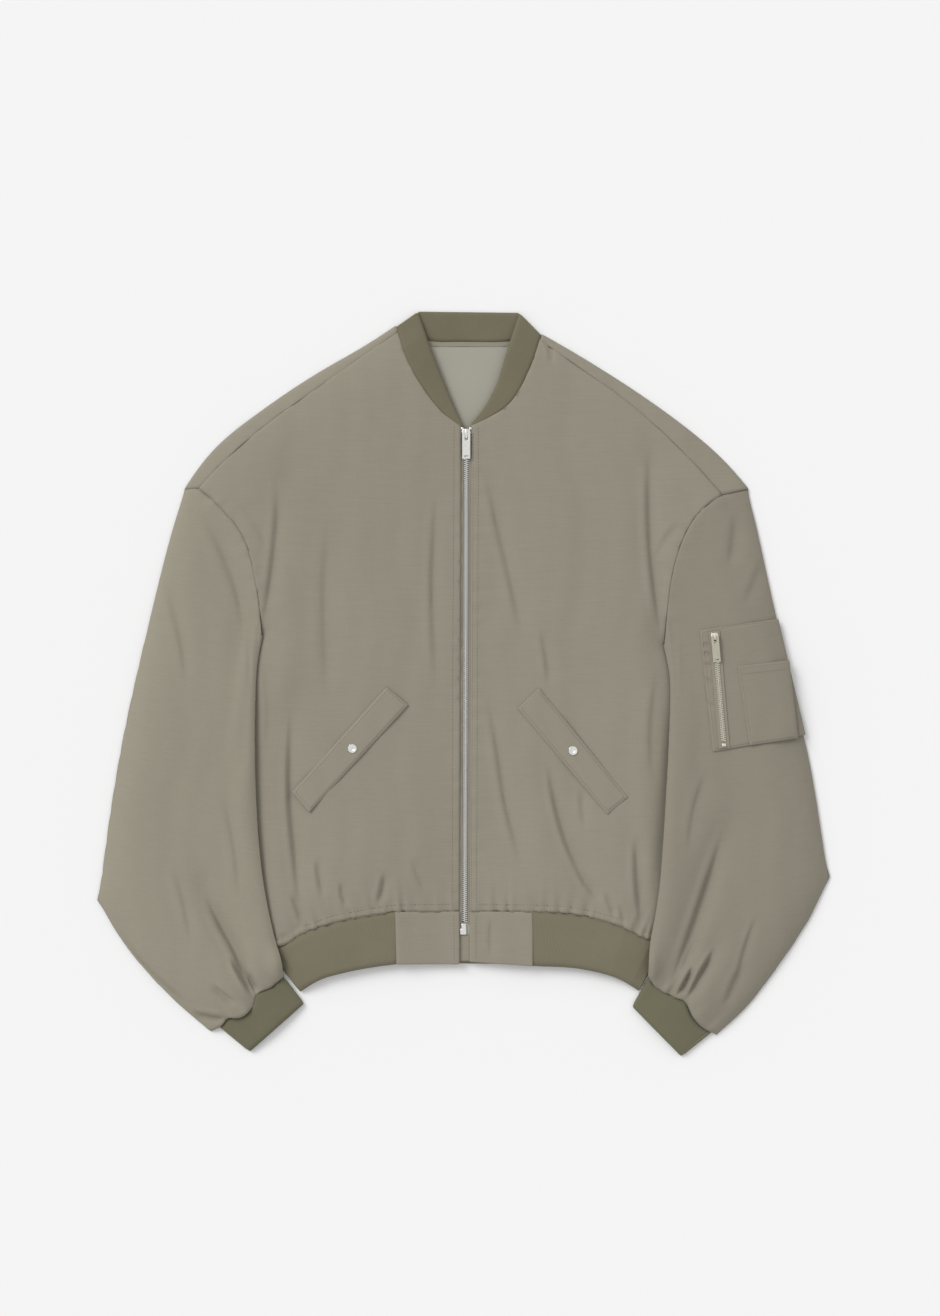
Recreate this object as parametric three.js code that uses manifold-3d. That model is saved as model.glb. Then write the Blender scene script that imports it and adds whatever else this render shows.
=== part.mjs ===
// A bomber jacket laid flat on its back, closed. Millimetres, +Z up, +X to the wearer's left,
// +Y towards the collar. Every wall is a sheet of cells with an outer and an inner face.
import * as THREE from 'three';
import { mergeVertices } from 'three/addons/utils/BufferGeometryUtils.js';
import Module from 'manifold-3d';

const wasm = await Module();
wasm.setup();

// Driving sizes
const CLOTH = 1.5;
const RIB = 2.5;
const TAPE = 1.0;
const LINING = 0.8;
const SEAM_GAP = 0.3;
const LAID_GAP = 0.5;
const FOLDED_EDGE = 2 * CLOTH + SEAM_GAP;
const BODY_RISE = 9;
const SLEEVE_RISE = 4;
const EDGE_ROUNDING = 48;
const ZIP_LEVEL = 10;
const ZIP_FLAT_ZONE = 70;
const ZIP_TOP = [3.1, 280];
const ZIP_BOTTOM = [1.3, -270];
const FRONT_OPENING = 11.5;
const SLEEVE_CLEARANCE = 1.3;

const COLOURS = {
  cloth: 0x938d7f,
  rib: 0x7a7560,
  collarRib: 0x706b57,
  cuffRib: 0x6c6953,
  lining: 0xa19d91,
  tape: 0x8f8a7c,
  metal: 0xd8d8d4,
};

// Outline and seams of each side, as [x, y] of the points that a smooth line passes through.
// right is the wearer's right, at -X, and left is the wearer's left, at +X.
const LINES = {
  right: {
    shoulderFold: [[-73.6, 393], [-101.8, 374], [-172.2, 333.3], [-247, 280.5], [-277.8, 254.1],
      [-305.3, 214.5]],
    shoulderSeam: [[-76.5, 386.5], [-106.7, 362.6], [-143.6, 337.3], [-215.1, 285.7], [-261.4, 246.7],
      [-290.8, 215.2]],
    armhole: [[-290.8, 215.2], [-280.3, 206.8], [-259.3, 185.8], [-240.4, 158.4], [-230.8, 126.8],
      [-225.6, 95.3], [-221.4, 52.4]],
    sideFold: [[-221.4, 52.4], [-233, 20], [-240, -40], [-240, -130], [-234, -215], [-221, -284]],
    sleeveOuter: [[-305.3, 214.5], [-318.5, 174.9], [-336.1, 108.9], [-373.5, -49.5], [-387.8, -128.7],
      [-403.2, -237.6]],
    sleeveLower: [[-403.2, -237.6], [-392.2, -260.7], [-352.6, -313.5], [-297.6, -366.3],
      [-277.1, -381.4]],
    sleeveInner: [[-221.4, 52.4], [-226.7, 23], [-228.1, -12.9], [-227.3, -96.8], [-220.3, -191.7],
      [-204.3, -282.7], [-196.2, -308.4], [-197.8, -321.2]],
    cuffSeam: [[-277.1, -381.4], [-268.4, -376.9], [-258.8, -366.9], [-244.2, -365.4], [-230.1, -350.9],
      [-227.8, -341.8], [-210.5, -331.8], [-197.8, -321.2]],
    cuffEdge: [[-235.1, -404.3], [-174.9, -350.9]],
    ribSeam: [[-221, -284], [-201.9, -286.8], [-174.6, -273], [-144.4, -262.1], [-103.4, -253.9],
      [-74.7, -249.7]],
    ribEdge: [[-180, -338.7], [-158.1, -325], [-130.8, -316.8], [-103.4, -311.3], [-73.3, -307.2]],
    neckSeam: [[-73.6, 393], [-62.8, 357.6], [-41.4, 319.8], [-21.1, 295.8], [-2.6, 283.1]],
    collarEdge: [[-50.2, 409.4], [-39.5, 377.9], [-28.7, 350], [-13.5, 312.2], [-2.6, 286.9]],
  },
  left: {
    shoulderFold: [[85.6, 383.6], [102.9, 374], [189.8, 320.1], [261.3, 267.3], [289.9, 240.9],
      [311.9, 214.5]],
    shoulderSeam: [[87.5, 377], [126.6, 348.3], [161.5, 324.3], [226.7, 269.9], [257.1, 237.3],
      [283.3, 207.9]],
    armhole: [[283.3, 207.9], [263.7, 193.8], [246.3, 169.8], [237.6, 150.3], [228.8, 117.7],
      [223.3, 74.3], [220.6, 42.9]],
    sideFold: [[220.6, 42.9], [233, 10], [240, -50], [238, -130], [232, -215], [222, -281]],
    sleeveOuter: [[311.9, 214.5], [319.6, 188.1], [337.2, 108.9], [364.7, -9.9], [383.4, -89.1],
      [403.2, -212]],
    sleeveLower: [[403.2, -212], [388.9, -247.5], [335, -326.7], [302, -366.3], [277.4, -384.6]],
    sleeveInner: [[220.6, 42.9], [225.6, 18], [227.3, 6.8], [224.4, -72.6], [210.7, -237.6],
      [202.5, -290], [203.3, -321.6]],
    cuffSeam: [[277.4, -384.6], [273, -382.6], [264.7, -378.2], [251.9, -364.9], [243.5, -349.1],
      [222.4, -340.3], [212, -333.4], [203.3, -321.6]],
    cuffEdge: [[239.6, -409.5], [185.1, -354.1]],
    ribSeam: [[222, -281], [204.5, -280], [170.3, -264.9], [142.9, -256.6], [112.8, -251.1],
      [75.8, -249.7]],
    ribEdge: [[193.5, -337.4], [170.3, -323.7], [129.1, -312.7], [75.8, -309.1]],
    neckSeam: [[85.6, 383.6], [72.3, 345], [47.1, 304.6], [21.8, 289.4], [8.9, 283.8]],
    collarEdge: [[61.6, 408.1], [48.3, 367.7], [33.2, 322.3], [21.8, 302.1], [8.9, 286.4]],
  },
};
const BACK_NECK = [[-73.6, 393], [-40, 378], [0, 376.5], [50, 377], [85.6, 383.6]];
const COLLAR_BACK_EDGE = [[-50.2, 409.4], [61.6, 408.1]];
const HEM_SEAM_MIDDLE = -249.5;
const HEM_EDGE_MIDDLE = -307.2;

// The main folds, as troughs: the line that each follows, its full width and its depth.
const FOLDS = [
  { on: 'body', line: [[-205.6, 232], [-204.5, 190], [-212.9, 105.8], [-221, 54]], width: 34, depth: 3 },
  { on: 'body', line: [[-146.9, 202], [-150, 80], [-146.9, -40]], width: 66, depth: 2.2 },
  { on: 'body', line: [[-29, 224], [-33, 100], [-29, -18]], width: 46, depth: 2 },
  { on: 'body', line: [[-188.7, -17.6], [-190.9, -127.6], [-177.7, -259.6]], width: 40, depth: 4 },
  { on: 'body', line: [[-161.2, -188], [-152.4, -240]], width: 26, depth: 3 },
  { on: 'body', line: [[-86.4, -213], [-94, -240]], width: 22, depth: 3 },
  { on: 'body', line: [[23.7, 240.9], [51.2, 114.4], [67.7, 37.4]], width: 42, depth: 2.4 },
  { on: 'body', line: [[25.9, -6.6], [45.7, -127.6], [67.7, -210]], width: 38, depth: 3 },
  { on: 'body', line: [[91.9, -78], [111.7, -171.6], [139.2, -229.9]], width: 32, depth: 4 },
  { on: 'body', line: [[205.2, 268.4], [205.2, 147.4], [218.4, 42.9]], width: 34, depth: 4 },
  { on: 'body', line: [[188.7, -160.6], [194.2, -265]], width: 30, depth: 4 },
  { on: 'body', line: [[122.7, -204.6], [150.2, -237.6]], width: 26, depth: 2.5 },
  { on: 'sleeve', line: [[-289.9, 196.9], [-245.9, 92.4], [-240.4, 48.4]], width: 46, depth: 3 },
  { on: 'sleeve', line: [[-284.4, -226.6], [-251.4, -292.6], [-232.7, -345.4]], width: 38, depth: 6 },
  { on: 'sleeve', line: [[-273.4, -331], [-248, -351]], width: 22, depth: 3 },
  { on: 'sleeve', line: [[298.7, 191], [291, 125]], width: 40, depth: 2.2 },
  { on: 'sleeve', line: [[287.7, -155], [249.2, -270.6], [225, -336.6]], width: 38, depth: 6 },
  { on: 'sleeve', line: [[276.4, -288.2], [257.8, -319.7], [246, -347.2]], width: 24, depth: 4 },
  { on: 'sleeve', line: [[305.9, -305], [286.3, -354.1]], width: 28, depth: 3 },
];
// The cloth blouses above the hem and the cuffs.
const BLOUSE = {
  hemRise: 4.5, hemPeak: 34, hemReach: 110, hemDip: 0.22, hemDipReach: 12,
  cuffRise: 3, cuffReach: 70, cuffDip: 0.45, cuffDipReach: 16,
};
const ARMHOLE_REACH = 90;
// The zip lies level, with a strip of each front beside it.
const ZIP_LEVEL_STRIP = 12;
// How far past the folded side a sleeve comes down to the floor.
const SIDE_DROP = { from: 3, reach: 16 };

const jacket = new THREE.Group();
const CURVE_STEPS = 400;

const lerp = (a, b, t) => a + (b - a) * t;
const smooth = (t) => THREE.MathUtils.smoothstep(t, 0, 1);
const steps = (count) => Array.from({ length: count + 1 }, (_, i) => i / count);

// Points of a smooth line through the given ones, at shares of its length.
function along(points, shares) {
  const through = points.map(([x, y]) => new THREE.Vector3(x, y, 0));
  const curve = new THREE.CatmullRomCurve3(through, false, 'centripetal');
  curve.arcLengthDivisions = CURVE_STEPS;
  return shares.map((share) => {
    const p = curve.getPointAt(share);
    return [p.x, p.y];
  });
}

const last = (line) => line[line.length - 1];
const reversed = (line) => [...line].reverse();

// Lines end to end, each of which starts where the one before it ends.
const join = (...lines) => lines.reduce((all, line) => all.concat(all.length ? line.slice(1) : line), []);

function distanceTo(line, x, y) {
  let least = Infinity;
  for (let i = 1; i < line.length; i += 1) {
    const [ax, ay] = line[i - 1];
    const dx = line[i][0] - ax;
    const dy = line[i][1] - ay;
    const share = THREE.MathUtils.clamp(((x - ax) * dx + (y - ay) * dy) / (dx * dx + dy * dy), 0, 1);
    least = Math.min(least, Math.hypot(x - ax - share * dx, y - ay - share * dy));
  }
  return least;
}

function inside(outline, x, y) {
  let within = false;
  outline.forEach(([ax, ay], i) => {
    const [bx, by] = outline[(i + 1) % outline.length];
    if (ay > y !== by > y && x < ((bx - ax) * (y - ay)) / (by - ay) + ax) {
      within = !within;
    }
  });
  return within;
}

// Shares of length at which the rows and columns of neighbouring pieces meet.
const FIRST_CELLS = [0, 0.25, 1];
const ARMHOLE_CELLS = [0, 0.1, 0.2, 0.3, 0.4, 0.5, 0.6, 0.7, 0.8, 0.9, 0.965, 1];
const SIDE_CELLS = steps(14);
const SHOULDER_CELLS = steps(9);
const NECK_CELLS = steps(5);
const TAB_CELLS = steps(4);
const RIB_CELLS = [0, 0.03, 0.1, 0.2, 0.31, 0.42, 0.54, 0.66, 0.78, 0.9, 1];
const SLEEVE_ROWS = { upper: 14, lower: 6 };
const CUFF_CELLS = [0, 0.025, 0.085, 0.17, 0.25, 0.33, 0.41, 0.49, 0.57, 0.65, 0.74, 0.84, 0.95, 1];

const zipShare = (y) => (y - ZIP_BOTTOM[1]) / (ZIP_TOP[1] - ZIP_BOTTOM[1]);
const zipX = (y) => lerp(ZIP_BOTTOM[0], ZIP_TOP[0], zipShare(y));
const sign = (side) => (side === 'right' ? -1 : 1);
const frontEdgeX = (side, y) => zipX(y) + (sign(side) * FRONT_OPENING) / 2;

function seamsOf(side) {
  const s = LINES[side];
  const { upper, lower } = SLEEVE_ROWS;
  const hemEnd = [frontEdgeX(side, HEM_SEAM_MIDDLE), HEM_SEAM_MIDDLE];
  return {
    shoulderFold: along(s.shoulderFold, SHOULDER_CELLS),
    shoulderSeam: along(s.shoulderSeam, SHOULDER_CELLS),
    armhole: along(s.armhole, ARMHOLE_CELLS),
    sideFold: along(s.sideFold, SIDE_CELLS),
    sleeveOuter: join(along(s.sleeveOuter, steps(upper)), along(s.sleeveLower, steps(lower))),
    sleeveInner: along(s.sleeveInner, steps(upper + lower)),
    capEnd: along([last(s.shoulderFold), s.armhole[0]], FIRST_CELLS),
    cuffSeam: along(s.cuffSeam, CUFF_CELLS),
    ribSeam: along(s.ribSeam, RIB_CELLS),
    ribEdge: along(s.ribEdge, RIB_CELLS),
    tabSeam: along([last(s.ribSeam), hemEnd], TAB_CELLS),
    neckSeam: along(s.neckSeam, NECK_CELLS),
    collarEdge: along(s.collarEdge, NECK_CELLS),
    frontEdge: [hemEnd, last(s.neckSeam)],
  };
}
const SEAMS = { right: seamsOf('right'), left: seamsOf('left') };

const troughs = (on, x, y) => FOLDS.filter((fold) => fold.on === on).reduce((sum, fold) => {
  const share = Math.min(1, distanceTo(fold.line, x, y) / (fold.width / 2));
  return sum + fold.depth * (1 - share ** 2) ** 2;
}, 0);

const rounded = (distance) => (1 - (1 - Math.min(1, distance / EDGE_ROUNDING)) ** 2) ** 0.75;

// Height of the upper face of the body: low at the folded sides and shoulders, bloused above the hem.
function bodyHeight(side, x, y) {
  const s = SEAMS[side];
  const edge = Math.min(distanceTo(s.shoulderFold, x, y), distanceTo(s.sideFold, x, y));
  const aboveHem = distanceTo(join(s.ribSeam, s.tabSeam), x, y);
  const atHem = y < 0 ? 1 - Math.abs(aboveHem - BLOUSE.hemPeak) / BLOUSE.hemReach : 0;
  const hemFall = 1 - BLOUSE.hemDip * (1 - smooth(aboveHem / BLOUSE.hemDipReach));
  const rise = (BODY_RISE + BLOUSE.hemRise * smooth(atHem)) * rounded(edge) * hemFall;
  const height = FOLDED_EDGE + rise - troughs('body', x, y) * rounded(edge);
  const fromZip = Math.abs(x - zipX(y)) - FRONT_OPENING / 2 - ZIP_LEVEL_STRIP;
  return lerp(ZIP_LEVEL, height, smooth(fromZip / ZIP_FLAT_ZONE));
}

// What the sleeve lies on: the floor, or the side of the body and of the hem rib.
function underSleeve(side, x, y) {
  const s = SEAMS[side];
  const rib = [s.ribSeam[0], s.ribEdge[0]];
  const tabEnd = last(s.ribEdge);
  const bodyOutline = join(s.sideFold, rib, [rib[1], tabEnd, [tabEnd[0], s.sideFold[0][1]]]);
  if (inside(bodyOutline, x, y)) {
    return bodyHeight(side, x, y) + SLEEVE_CLEARANCE;
  }
  const away = Math.min(distanceTo(s.sideFold, x, y), distanceTo(rib, x, y));
  return (FOLDED_EDGE + SLEEVE_CLEARANCE) * (1 - smooth((away - SIDE_DROP.from) / SIDE_DROP.reach));
}

function sleeveHeight(side, x, y) {
  const s = SEAMS[side];
  const outer = Math.min(distanceTo(s.shoulderFold, x, y), distanceTo(s.sleeveOuter, x, y));
  const edge = Math.min(outer, distanceTo(s.sleeveInner, x, y));
  const fromCuff = distanceTo(s.cuffSeam, x, y);
  const fromArmhole = distanceTo(s.armhole, x, y);
  const atCuff = 1 - BLOUSE.cuffDip * (1 - smooth(fromCuff / BLOUSE.cuffDipReach));
  const aboveCuff = BLOUSE.cuffRise * smooth(1 - fromCuff / BLOUSE.cuffReach);
  const puff = SLEEVE_RISE * smooth(fromArmhole / ARMHOLE_REACH) + aboveCuff;
  const rise = (BODY_RISE + puff) * rounded(edge) * atCuff;
  return FOLDED_EDGE + rise - troughs('sleeve', x, y) * rounded(edge);
}

// A grid of points between four lines: rows from bottom to top, columns from first to last.
function gridBetween(bottom, top, first, last) {
  const columns = bottom.length - 1;
  const rows = first.length - 1;
  return first.map((_, j) => bottom.map((__, i) => [0, 1].map((k) => {
    const u = i / columns;
    const v = j / rows;
    const between = lerp(bottom[i][k], top[i][k], v) + lerp(first[j][k], last[j][k], u);
    const corners = lerp(lerp(bottom[0][k], bottom[columns][k], u), lerp(top[0][k], top[columns][k], u), v);
    return between - corners;
  })));
}

// Moves the edge points of a closed outline inwards.
function movedIn(outline, distance) {
  const area = outline.reduce((sum, [x, y], i) => {
    const [nx, ny] = outline[(i + 1) % outline.length];
    return sum + x * ny - nx * y;
  }, 0);
  const turn = Math.sign(area);
  return outline.map(([x, y], i) => {
    const before = outline[(i - 1 + outline.length) % outline.length];
    const after = outline[(i + 1) % outline.length];
    const one = new THREE.Vector2(x - before[0], y - before[1]).normalize();
    const two = new THREE.Vector2(after[0] - x, after[1] - y).normalize();
    const normal = new THREE.Vector2(-one.y - two.y, one.x + two.x).normalize();
    const reach = distance / Math.max(0.5, normal.x * -one.y + normal.y * one.x);
    return [x + turn * normal.x * reach, y + turn * normal.y * reach];
  });
}

// The grid with its outer ring of points moved in by half a seam gap.
function insetGrid(grid) {
  const rows = grid.length - 1;
  const columns = grid[0].length - 1;
  const ring = [];
  const count = (length) => Array.from({ length }, (_, i) => i);
  count(columns).forEach((i) => ring.push([0, i]));
  count(rows).forEach((j) => ring.push([j, columns]));
  count(columns).forEach((i) => ring.push([rows, columns - i]));
  count(rows).forEach((j) => ring.push([rows - j, 0]));
  const moved = movedIn(ring.map(([j, i]) => grid[j][i]), SEAM_GAP / 2);
  const copy = grid.map((row) => row.map((p) => [...p]));
  ring.forEach(([j, i], k) => {
    copy[j][i] = moved[k];
  });
  return copy;
}

function material(name) {
  const metal = name === 'metal';
  return new THREE.MeshStandardMaterial({
    color: COLOURS[name], roughness: metal ? 0.3 : 0.9, metalness: metal ? 1 : 0,
  });
}

function addMesh(name, geometry, finish, parent = jacket) {
  const mesh = new THREE.Mesh(geometry, material(finish));
  mesh.name = name;
  parent.add(mesh);
  return mesh;
}

function bodyOf(points, triangles) {
  const geometry = new THREE.BufferGeometry();
  geometry.setAttribute('position', new THREE.Float32BufferAttribute(points.flat(), 3));
  geometry.setIndex(triangles.flat());
  geometry.computeVertexNormals();
  return geometry;
}

function volumeOf(points, triangles) {
  const v = triangles.map((t) => t.map((i) => new THREE.Vector3(...points[i])));
  return v.reduce((sum, [a, b, c]) => sum + a.dot(b.clone().cross(c)), 0) / 6;
}

// A closed wall over a sheet of four-sided cells: its outer and inner faces, and a rim at each free edge.
function wall(cells, outer, inner) {
  const count = outer.length;
  const points = outer.concat(inner);
  const triangles = [];
  const edges = new Map();
  cells.forEach(([a, b, c, d]) => {
    triangles.push([a, b, c], [a, c, d]);
    triangles.push([a + count, c + count, b + count], [a + count, d + count, c + count]);
    [[a, b], [b, c], [c, d], [d, a]].forEach(([p, q]) => {
      if (!edges.delete(`${q},${p}`)) {
        edges.set(`${p},${q}`, [p, q]);
      }
    });
  });
  edges.forEach(([p, q]) => {
    triangles.push([q, p, p + count], [q, p + count, q + count]);
  });
  if (volumeOf(points, triangles) < 0) {
    triangles.forEach((t) => t.reverse());
  }
  return bodyOf(points, triangles);
}

// Cells of a grid of rows and columns. A closed one joins its last column to its first.
function cellsOf(rows, columns, closed = false) {
  const cells = [];
  for (let j = 0; j < rows - 1; j += 1) {
    for (let i = 0; i < columns - (closed ? 0 : 1); i += 1) {
      const next = (i + 1) % columns;
      cells.push([j * columns + i, j * columns + next, (j + 1) * columns + next, (j + 1) * columns + i]);
    }
  }
  return cells;
}

// A panel that lies flat or over others: a plan grid, the height of its upper face, and its thickness.
function layer(grid, heightAt, thickness) {
  const outer = grid.flat().map(([x, y]) => [x, y, heightAt(x, y)]);
  const inner = outer.map(([x, y, z]) => [x, y, z - thickness]);
  return wall(cellsOf(grid.length, grid[0].length), outer, inner);
}

const ON_BACK = CLOTH + SEAM_GAP;
const RIB_TURN = (RIB + SEAM_GAP) / 2;
const RIB_FOLDED = RIB / 2 + 2 * RIB_TURN;
const RIB_DROOP = 1.5;
const CUFF_PUFF = 3;
const RIB_SEAM_GAP = 0.3;

const panels = {};

function frontPanel(side) {
  const s = SEAMS[side];
  const bottom = join(s.ribSeam, s.tabSeam);
  const top = join(reversed(s.shoulderSeam), s.neckSeam);
  const outerSide = join(reversed(s.sideFold), reversed(s.armhole));
  const zipSide = along(s.frontEdge, steps(outerSide.length - 1));
  const grid = insetGrid(gridBetween(bottom, top, outerSide, zipSide));
  panels[`front_${side}`] = layer(grid, (x, y) => bodyHeight(side, x, y), CLOTH);
  addMesh(`front_${side}`, panels[`front_${side}`], 'cloth');
}

// A sleeve is a flattened tube: its upper layer from the outer to the inner fold, and its lower one back.
function sleeve(side) {
  const s = SEAMS[side];
  const cap = join(s.capEnd, s.armhole);
  const grid = insetGrid(gridBetween(cap, s.cuffSeam, s.sleeveOuter, s.sleeveInner));
  const end = cap.length - 1;
  const outer = [];
  const inner = [];
  grid.forEach((row) => {
    const lift = row.map(([x, y]) => underSleeve(side, x, y));
    const point = (i, z) => [row[i][0], row[i][1], z];
    const foldInside = (i, next) => [0, 1].map((k) => lerp(row[i][k], row[next][k], 0.55));
    for (let i = 0; i <= end; i += 1) {
      if (i === 0 || i === end) {
        const z = lift[i] + FOLDED_EDGE / 2;
        outer.push(point(i, z));
        inner.push([...foldInside(i, i === 0 ? 1 : end - 1), z]);
      } else {
        const z = lift[i] + sleeveHeight(side, ...row[i]);
        outer.push(point(i, z));
        inner.push(point(i, z - CLOTH));
      }
    }
    for (let i = end - 1; i > 0; i -= 1) {
      outer.push(point(i, lift[i]));
      inner.push(point(i, lift[i] + CLOTH));
    }
  });
  const columns = 2 * end;
  panels[`sleeve_${side}`] = wall(cellsOf(grid.length, columns, true), outer, inner);
  addMesh(`sleeve_${side}`, panels[`sleeve_${side}`], 'cloth');
}

// A station of a strip: a point on its seam, one on its free edge, and the way its outer face looks.
const station = (seam, edge, out) => ({ seam, edge, out });

// The stations of a fold over the line between two points, from the upper layer to the lower one.
// upper and lower are the next points of seam and edge in those layers.
function foldOver([seam, edge], upper, lower, side) {
  const length = Math.hypot(edge[0] - seam[0], edge[1] - seam[1]);
  const turn = side === 'right' ? 1 : -1;
  const outward = [(-(edge[1] - seam[1]) / length) * turn, ((edge[0] - seam[0]) / length) * turn];
  const stepTo = (from, next, reach) => {
    const way = [next[0] - from[0], next[1] - from[1]];
    const share = reach / (way[0] * outward[0] + way[1] * outward[1]);
    return [from[0] + way[0] * share, from[1] + way[1] * share];
  };
  return [0, 45, 90, 135, 180].map((degrees) => {
    const angle = THREE.MathUtils.degToRad(degrees);
    const reach = RIB_TURN * Math.sin(angle) - RIB_TURN - RIB / 2;
    const z = RIB / 2 + RIB_TURN * (1 + Math.cos(angle));
    const ends = [seam, edge].map((from, k) => {
      const one = stepTo(from, upper[k], reach);
      const two = stepTo(from, lower[k], reach);
      const share = degrees / 180;
      return [lerp(one[0], two[0], share), lerp(one[1], two[1], share), z];
    });
    const out = [outward[0] * Math.sin(angle), outward[1] * Math.sin(angle), Math.cos(angle)];
    return station(ends[0], ends[1], out);
  });
}

// A rib strip through its stations, with the half gap left at its seam.
function strip(stations, cellsAcross, closed = false) {
  const outer = [];
  const inner = [];
  const count = stations.length;
  for (let j = 0; j <= cellsAcross; j += 1) {
    stations.forEach(({ seam, edge, out }) => {
      const width = Math.hypot(edge[0] - seam[0], edge[1] - seam[1]);
      const share = lerp(Math.min(0.4, RIB_SEAM_GAP / width), 1, j / cellsAcross);
      const centre = [0, 1, 2].map((k) => lerp(seam[k], edge[k], share));
      outer.push(centre.map((value, k) => value + (out[k] * RIB) / 2));
      inner.push(centre.map((value, k) => value - (out[k] * RIB) / 2));
    });
  }
  return wall(cellsOf(cellsAcross + 1, count, closed), outer, inner);
}

const UP = [0, 0, 1];
const DOWN = [0, 0, -1];
const OTHER = { right: 'left', left: 'right' };

function cuff(side) {
  const s = SEAMS[side];
  const seam = s.cuffSeam.slice(2);
  const edge = along(LINES[side].cuffEdge, steps(seam.length - 1));
  const end = seam.length - 1;
  const puff = (i) => CUFF_PUFF * Math.sin((Math.PI * i) / end);
  const laid = (i, z, out) => station([...seam[i], z], [...edge[i], z], out);
  const middle = Array.from({ length: end - 1 }, (_, i) => i + 1);
  const pair = (i) => [seam[i], edge[i]];
  const foldAt = (i, next, way) => foldOver(pair(i), pair(next), pair(next), way);
  const outerFold = foldAt(0, 1, OTHER[side]);
  const innerFold = foldAt(end, end - 1, side);
  const stations = [
    ...reversed(outerFold),
    ...middle.map((i) => laid(i, RIB_FOLDED + puff(i), UP)),
    ...innerFold,
    ...reversed(middle).map((i) => laid(i, RIB / 2, DOWN)),
  ];
  addMesh(`cuff_${side}`, strip(stations, 2, true), 'cuffRib');
}

// The upper stations of a rib that starts at the front opening and ends at its fold.
function upperRib(side, seam, edge) {
  return seam.map((point, i) => {
    const z = Math.max(RIB_FOLDED, bodyHeight(side, ...point) - RIB / 2);
    return station([...point, z], [...edge[i], Math.max(RIB_FOLDED, z - RIB_DROOP)], UP);
  });
}

// The whole back hem from side to side, along the seam or the free edge of its rib.
function hemLine(name, middle) {
  const [right, left] = [SEAMS.right[name], SEAMS.left[name]];
  return join(right, along([last(right), [0, middle], last(left)], steps(4)), reversed(left));
}

function hemRib() {
  const backSeam = hemLine('ribSeam', HEM_SEAM_MIDDLE);
  const backEdge = hemLine('ribEdge', HEM_EDGE_MIDDLE);
  const lower = backSeam.map((point, i) => station([...point, RIB / 2], [...backEdge[i], RIB / 2], DOWN));
  const fold = (side) => {
    const s = SEAMS[side];
    const next = [s.ribSeam[1], s.ribEdge[1]];
    return foldOver([s.ribSeam[0], s.ribEdge[0]], next, next, OTHER[side]);
  };
  const upper = (side) => {
    const s = SEAMS[side];
    const seam = reversed(s.ribSeam).slice(0, -1);
    return upperRib(side, seam, reversed(s.ribEdge).slice(0, -1));
  };
  const stations = [
    ...upper('right'), ...fold('right'), ...lower.slice(1, -1),
    ...reversed(fold('left')), ...reversed(upper('left')),
  ];
  addMesh('hem_rib', strip(stations, 2), 'rib');
}

function collar() {
  const seam = along(BACK_NECK, steps(8));
  const edge = along(COLLAR_BACK_EDGE, steps(8));
  const fold = (side) => {
    const s = SEAMS[side];
    const k = side === 'right' ? 1 : seam.length - 2;
    return foldOver([s.neckSeam[0], s.collarEdge[0]], [s.neckSeam[1], s.collarEdge[1]], [seam[k], edge[k]], side);
  };
  const upper = (side) => {
    const s = SEAMS[side];
    return upperRib(side, reversed(s.neckSeam).slice(0, -1), reversed(s.collarEdge).slice(0, -1));
  };
  const lower = seam.map((point, i) => station([...point, RIB / 2], [...edge[i], RIB / 2], DOWN)).slice(1, -1);
  const stations = [
    ...upper('right'), ...fold('right'), ...lower, ...reversed(fold('left')), ...reversed(upper('left')),
  ];
  addMesh('collar', strip(stations, 3), 'collarRib');
}

function manifoldOf(geometry) {
  const bare = geometry.clone();
  bare.deleteAttribute('normal');
  bare.deleteAttribute('uv');
  const merged = mergeVertices(bare, 1e-4);
  const mesh = new wasm.Mesh({
    numProp: 3,
    vertProperties: new Float32Array(merged.attributes.position.array),
    triVerts: new Uint32Array(merged.index.array),
  });
  mesh.merge();
  return new wasm.Manifold(mesh);
}

function geometryOf(solid) {
  const { vertProperties, triVerts } = solid.getMesh();
  const geometry = new THREE.BufferGeometry();
  geometry.setAttribute('position', new THREE.BufferAttribute(vertProperties, 3));
  geometry.setIndex(new THREE.BufferAttribute(triVerts, 1));
  geometry.computeVertexNormals();
  return geometry;
}

function plate(outline, bottom, thickness) {
  const shape = new THREE.Shape(outline.map(([x, y]) => new THREE.Vector2(x, y)));
  const geometry = new THREE.ExtrudeGeometry(shape, { depth: thickness, bevelEnabled: false });
  geometry.translate(0, 0, bottom);
  return geometry;
}

const WRAP = { root: 4, shoulder: 1.2, inside: 1.8, half: 0.4 };

// The strip of the back panel that turns over the shoulder and ends at the forward shoulder seam.
function shoulderWrap(side) {
  const s = SEAMS[side];
  const { root, shoulder, inside: within, half } = WRAP;
  const outer = [];
  const inner = [];
  s.shoulderFold.forEach((fold, i) => {
    const seam = s.shoulderSeam[i];
    const width = Math.hypot(seam[0] - fold[0], seam[1] - fold[1]);
    const into = [(seam[0] - fold[0]) / width, (seam[1] - fold[1]) / width];
    const at = (distance, z) => [fold[0] + into[0] * distance, fold[1] + into[1] * distance, z];
    const end = width - SEAM_GAP / 2;
    const topZ = (distance) => bodyHeight(side, ...at(distance, 0));
    const middle = lerp(within, end, half);
    const [level, top] = [FOLDED_EDGE / 2, topZ(shoulder)];
    outer.push(at(root, 0), at(shoulder, 0), at(0, level), at(shoulder, top));
    outer.push(at(middle, topZ(middle)), at(end, topZ(end)));
    inner.push(at(root, CLOTH), at(within, CLOTH), at(CLOTH, level), at(within, top - CLOTH));
    inner.push(at(middle, topZ(middle) - CLOTH), at(end, topZ(end) - CLOTH));
  });
  return wall(cellsOf(s.shoulderFold.length, 6), outer, inner);
}

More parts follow.
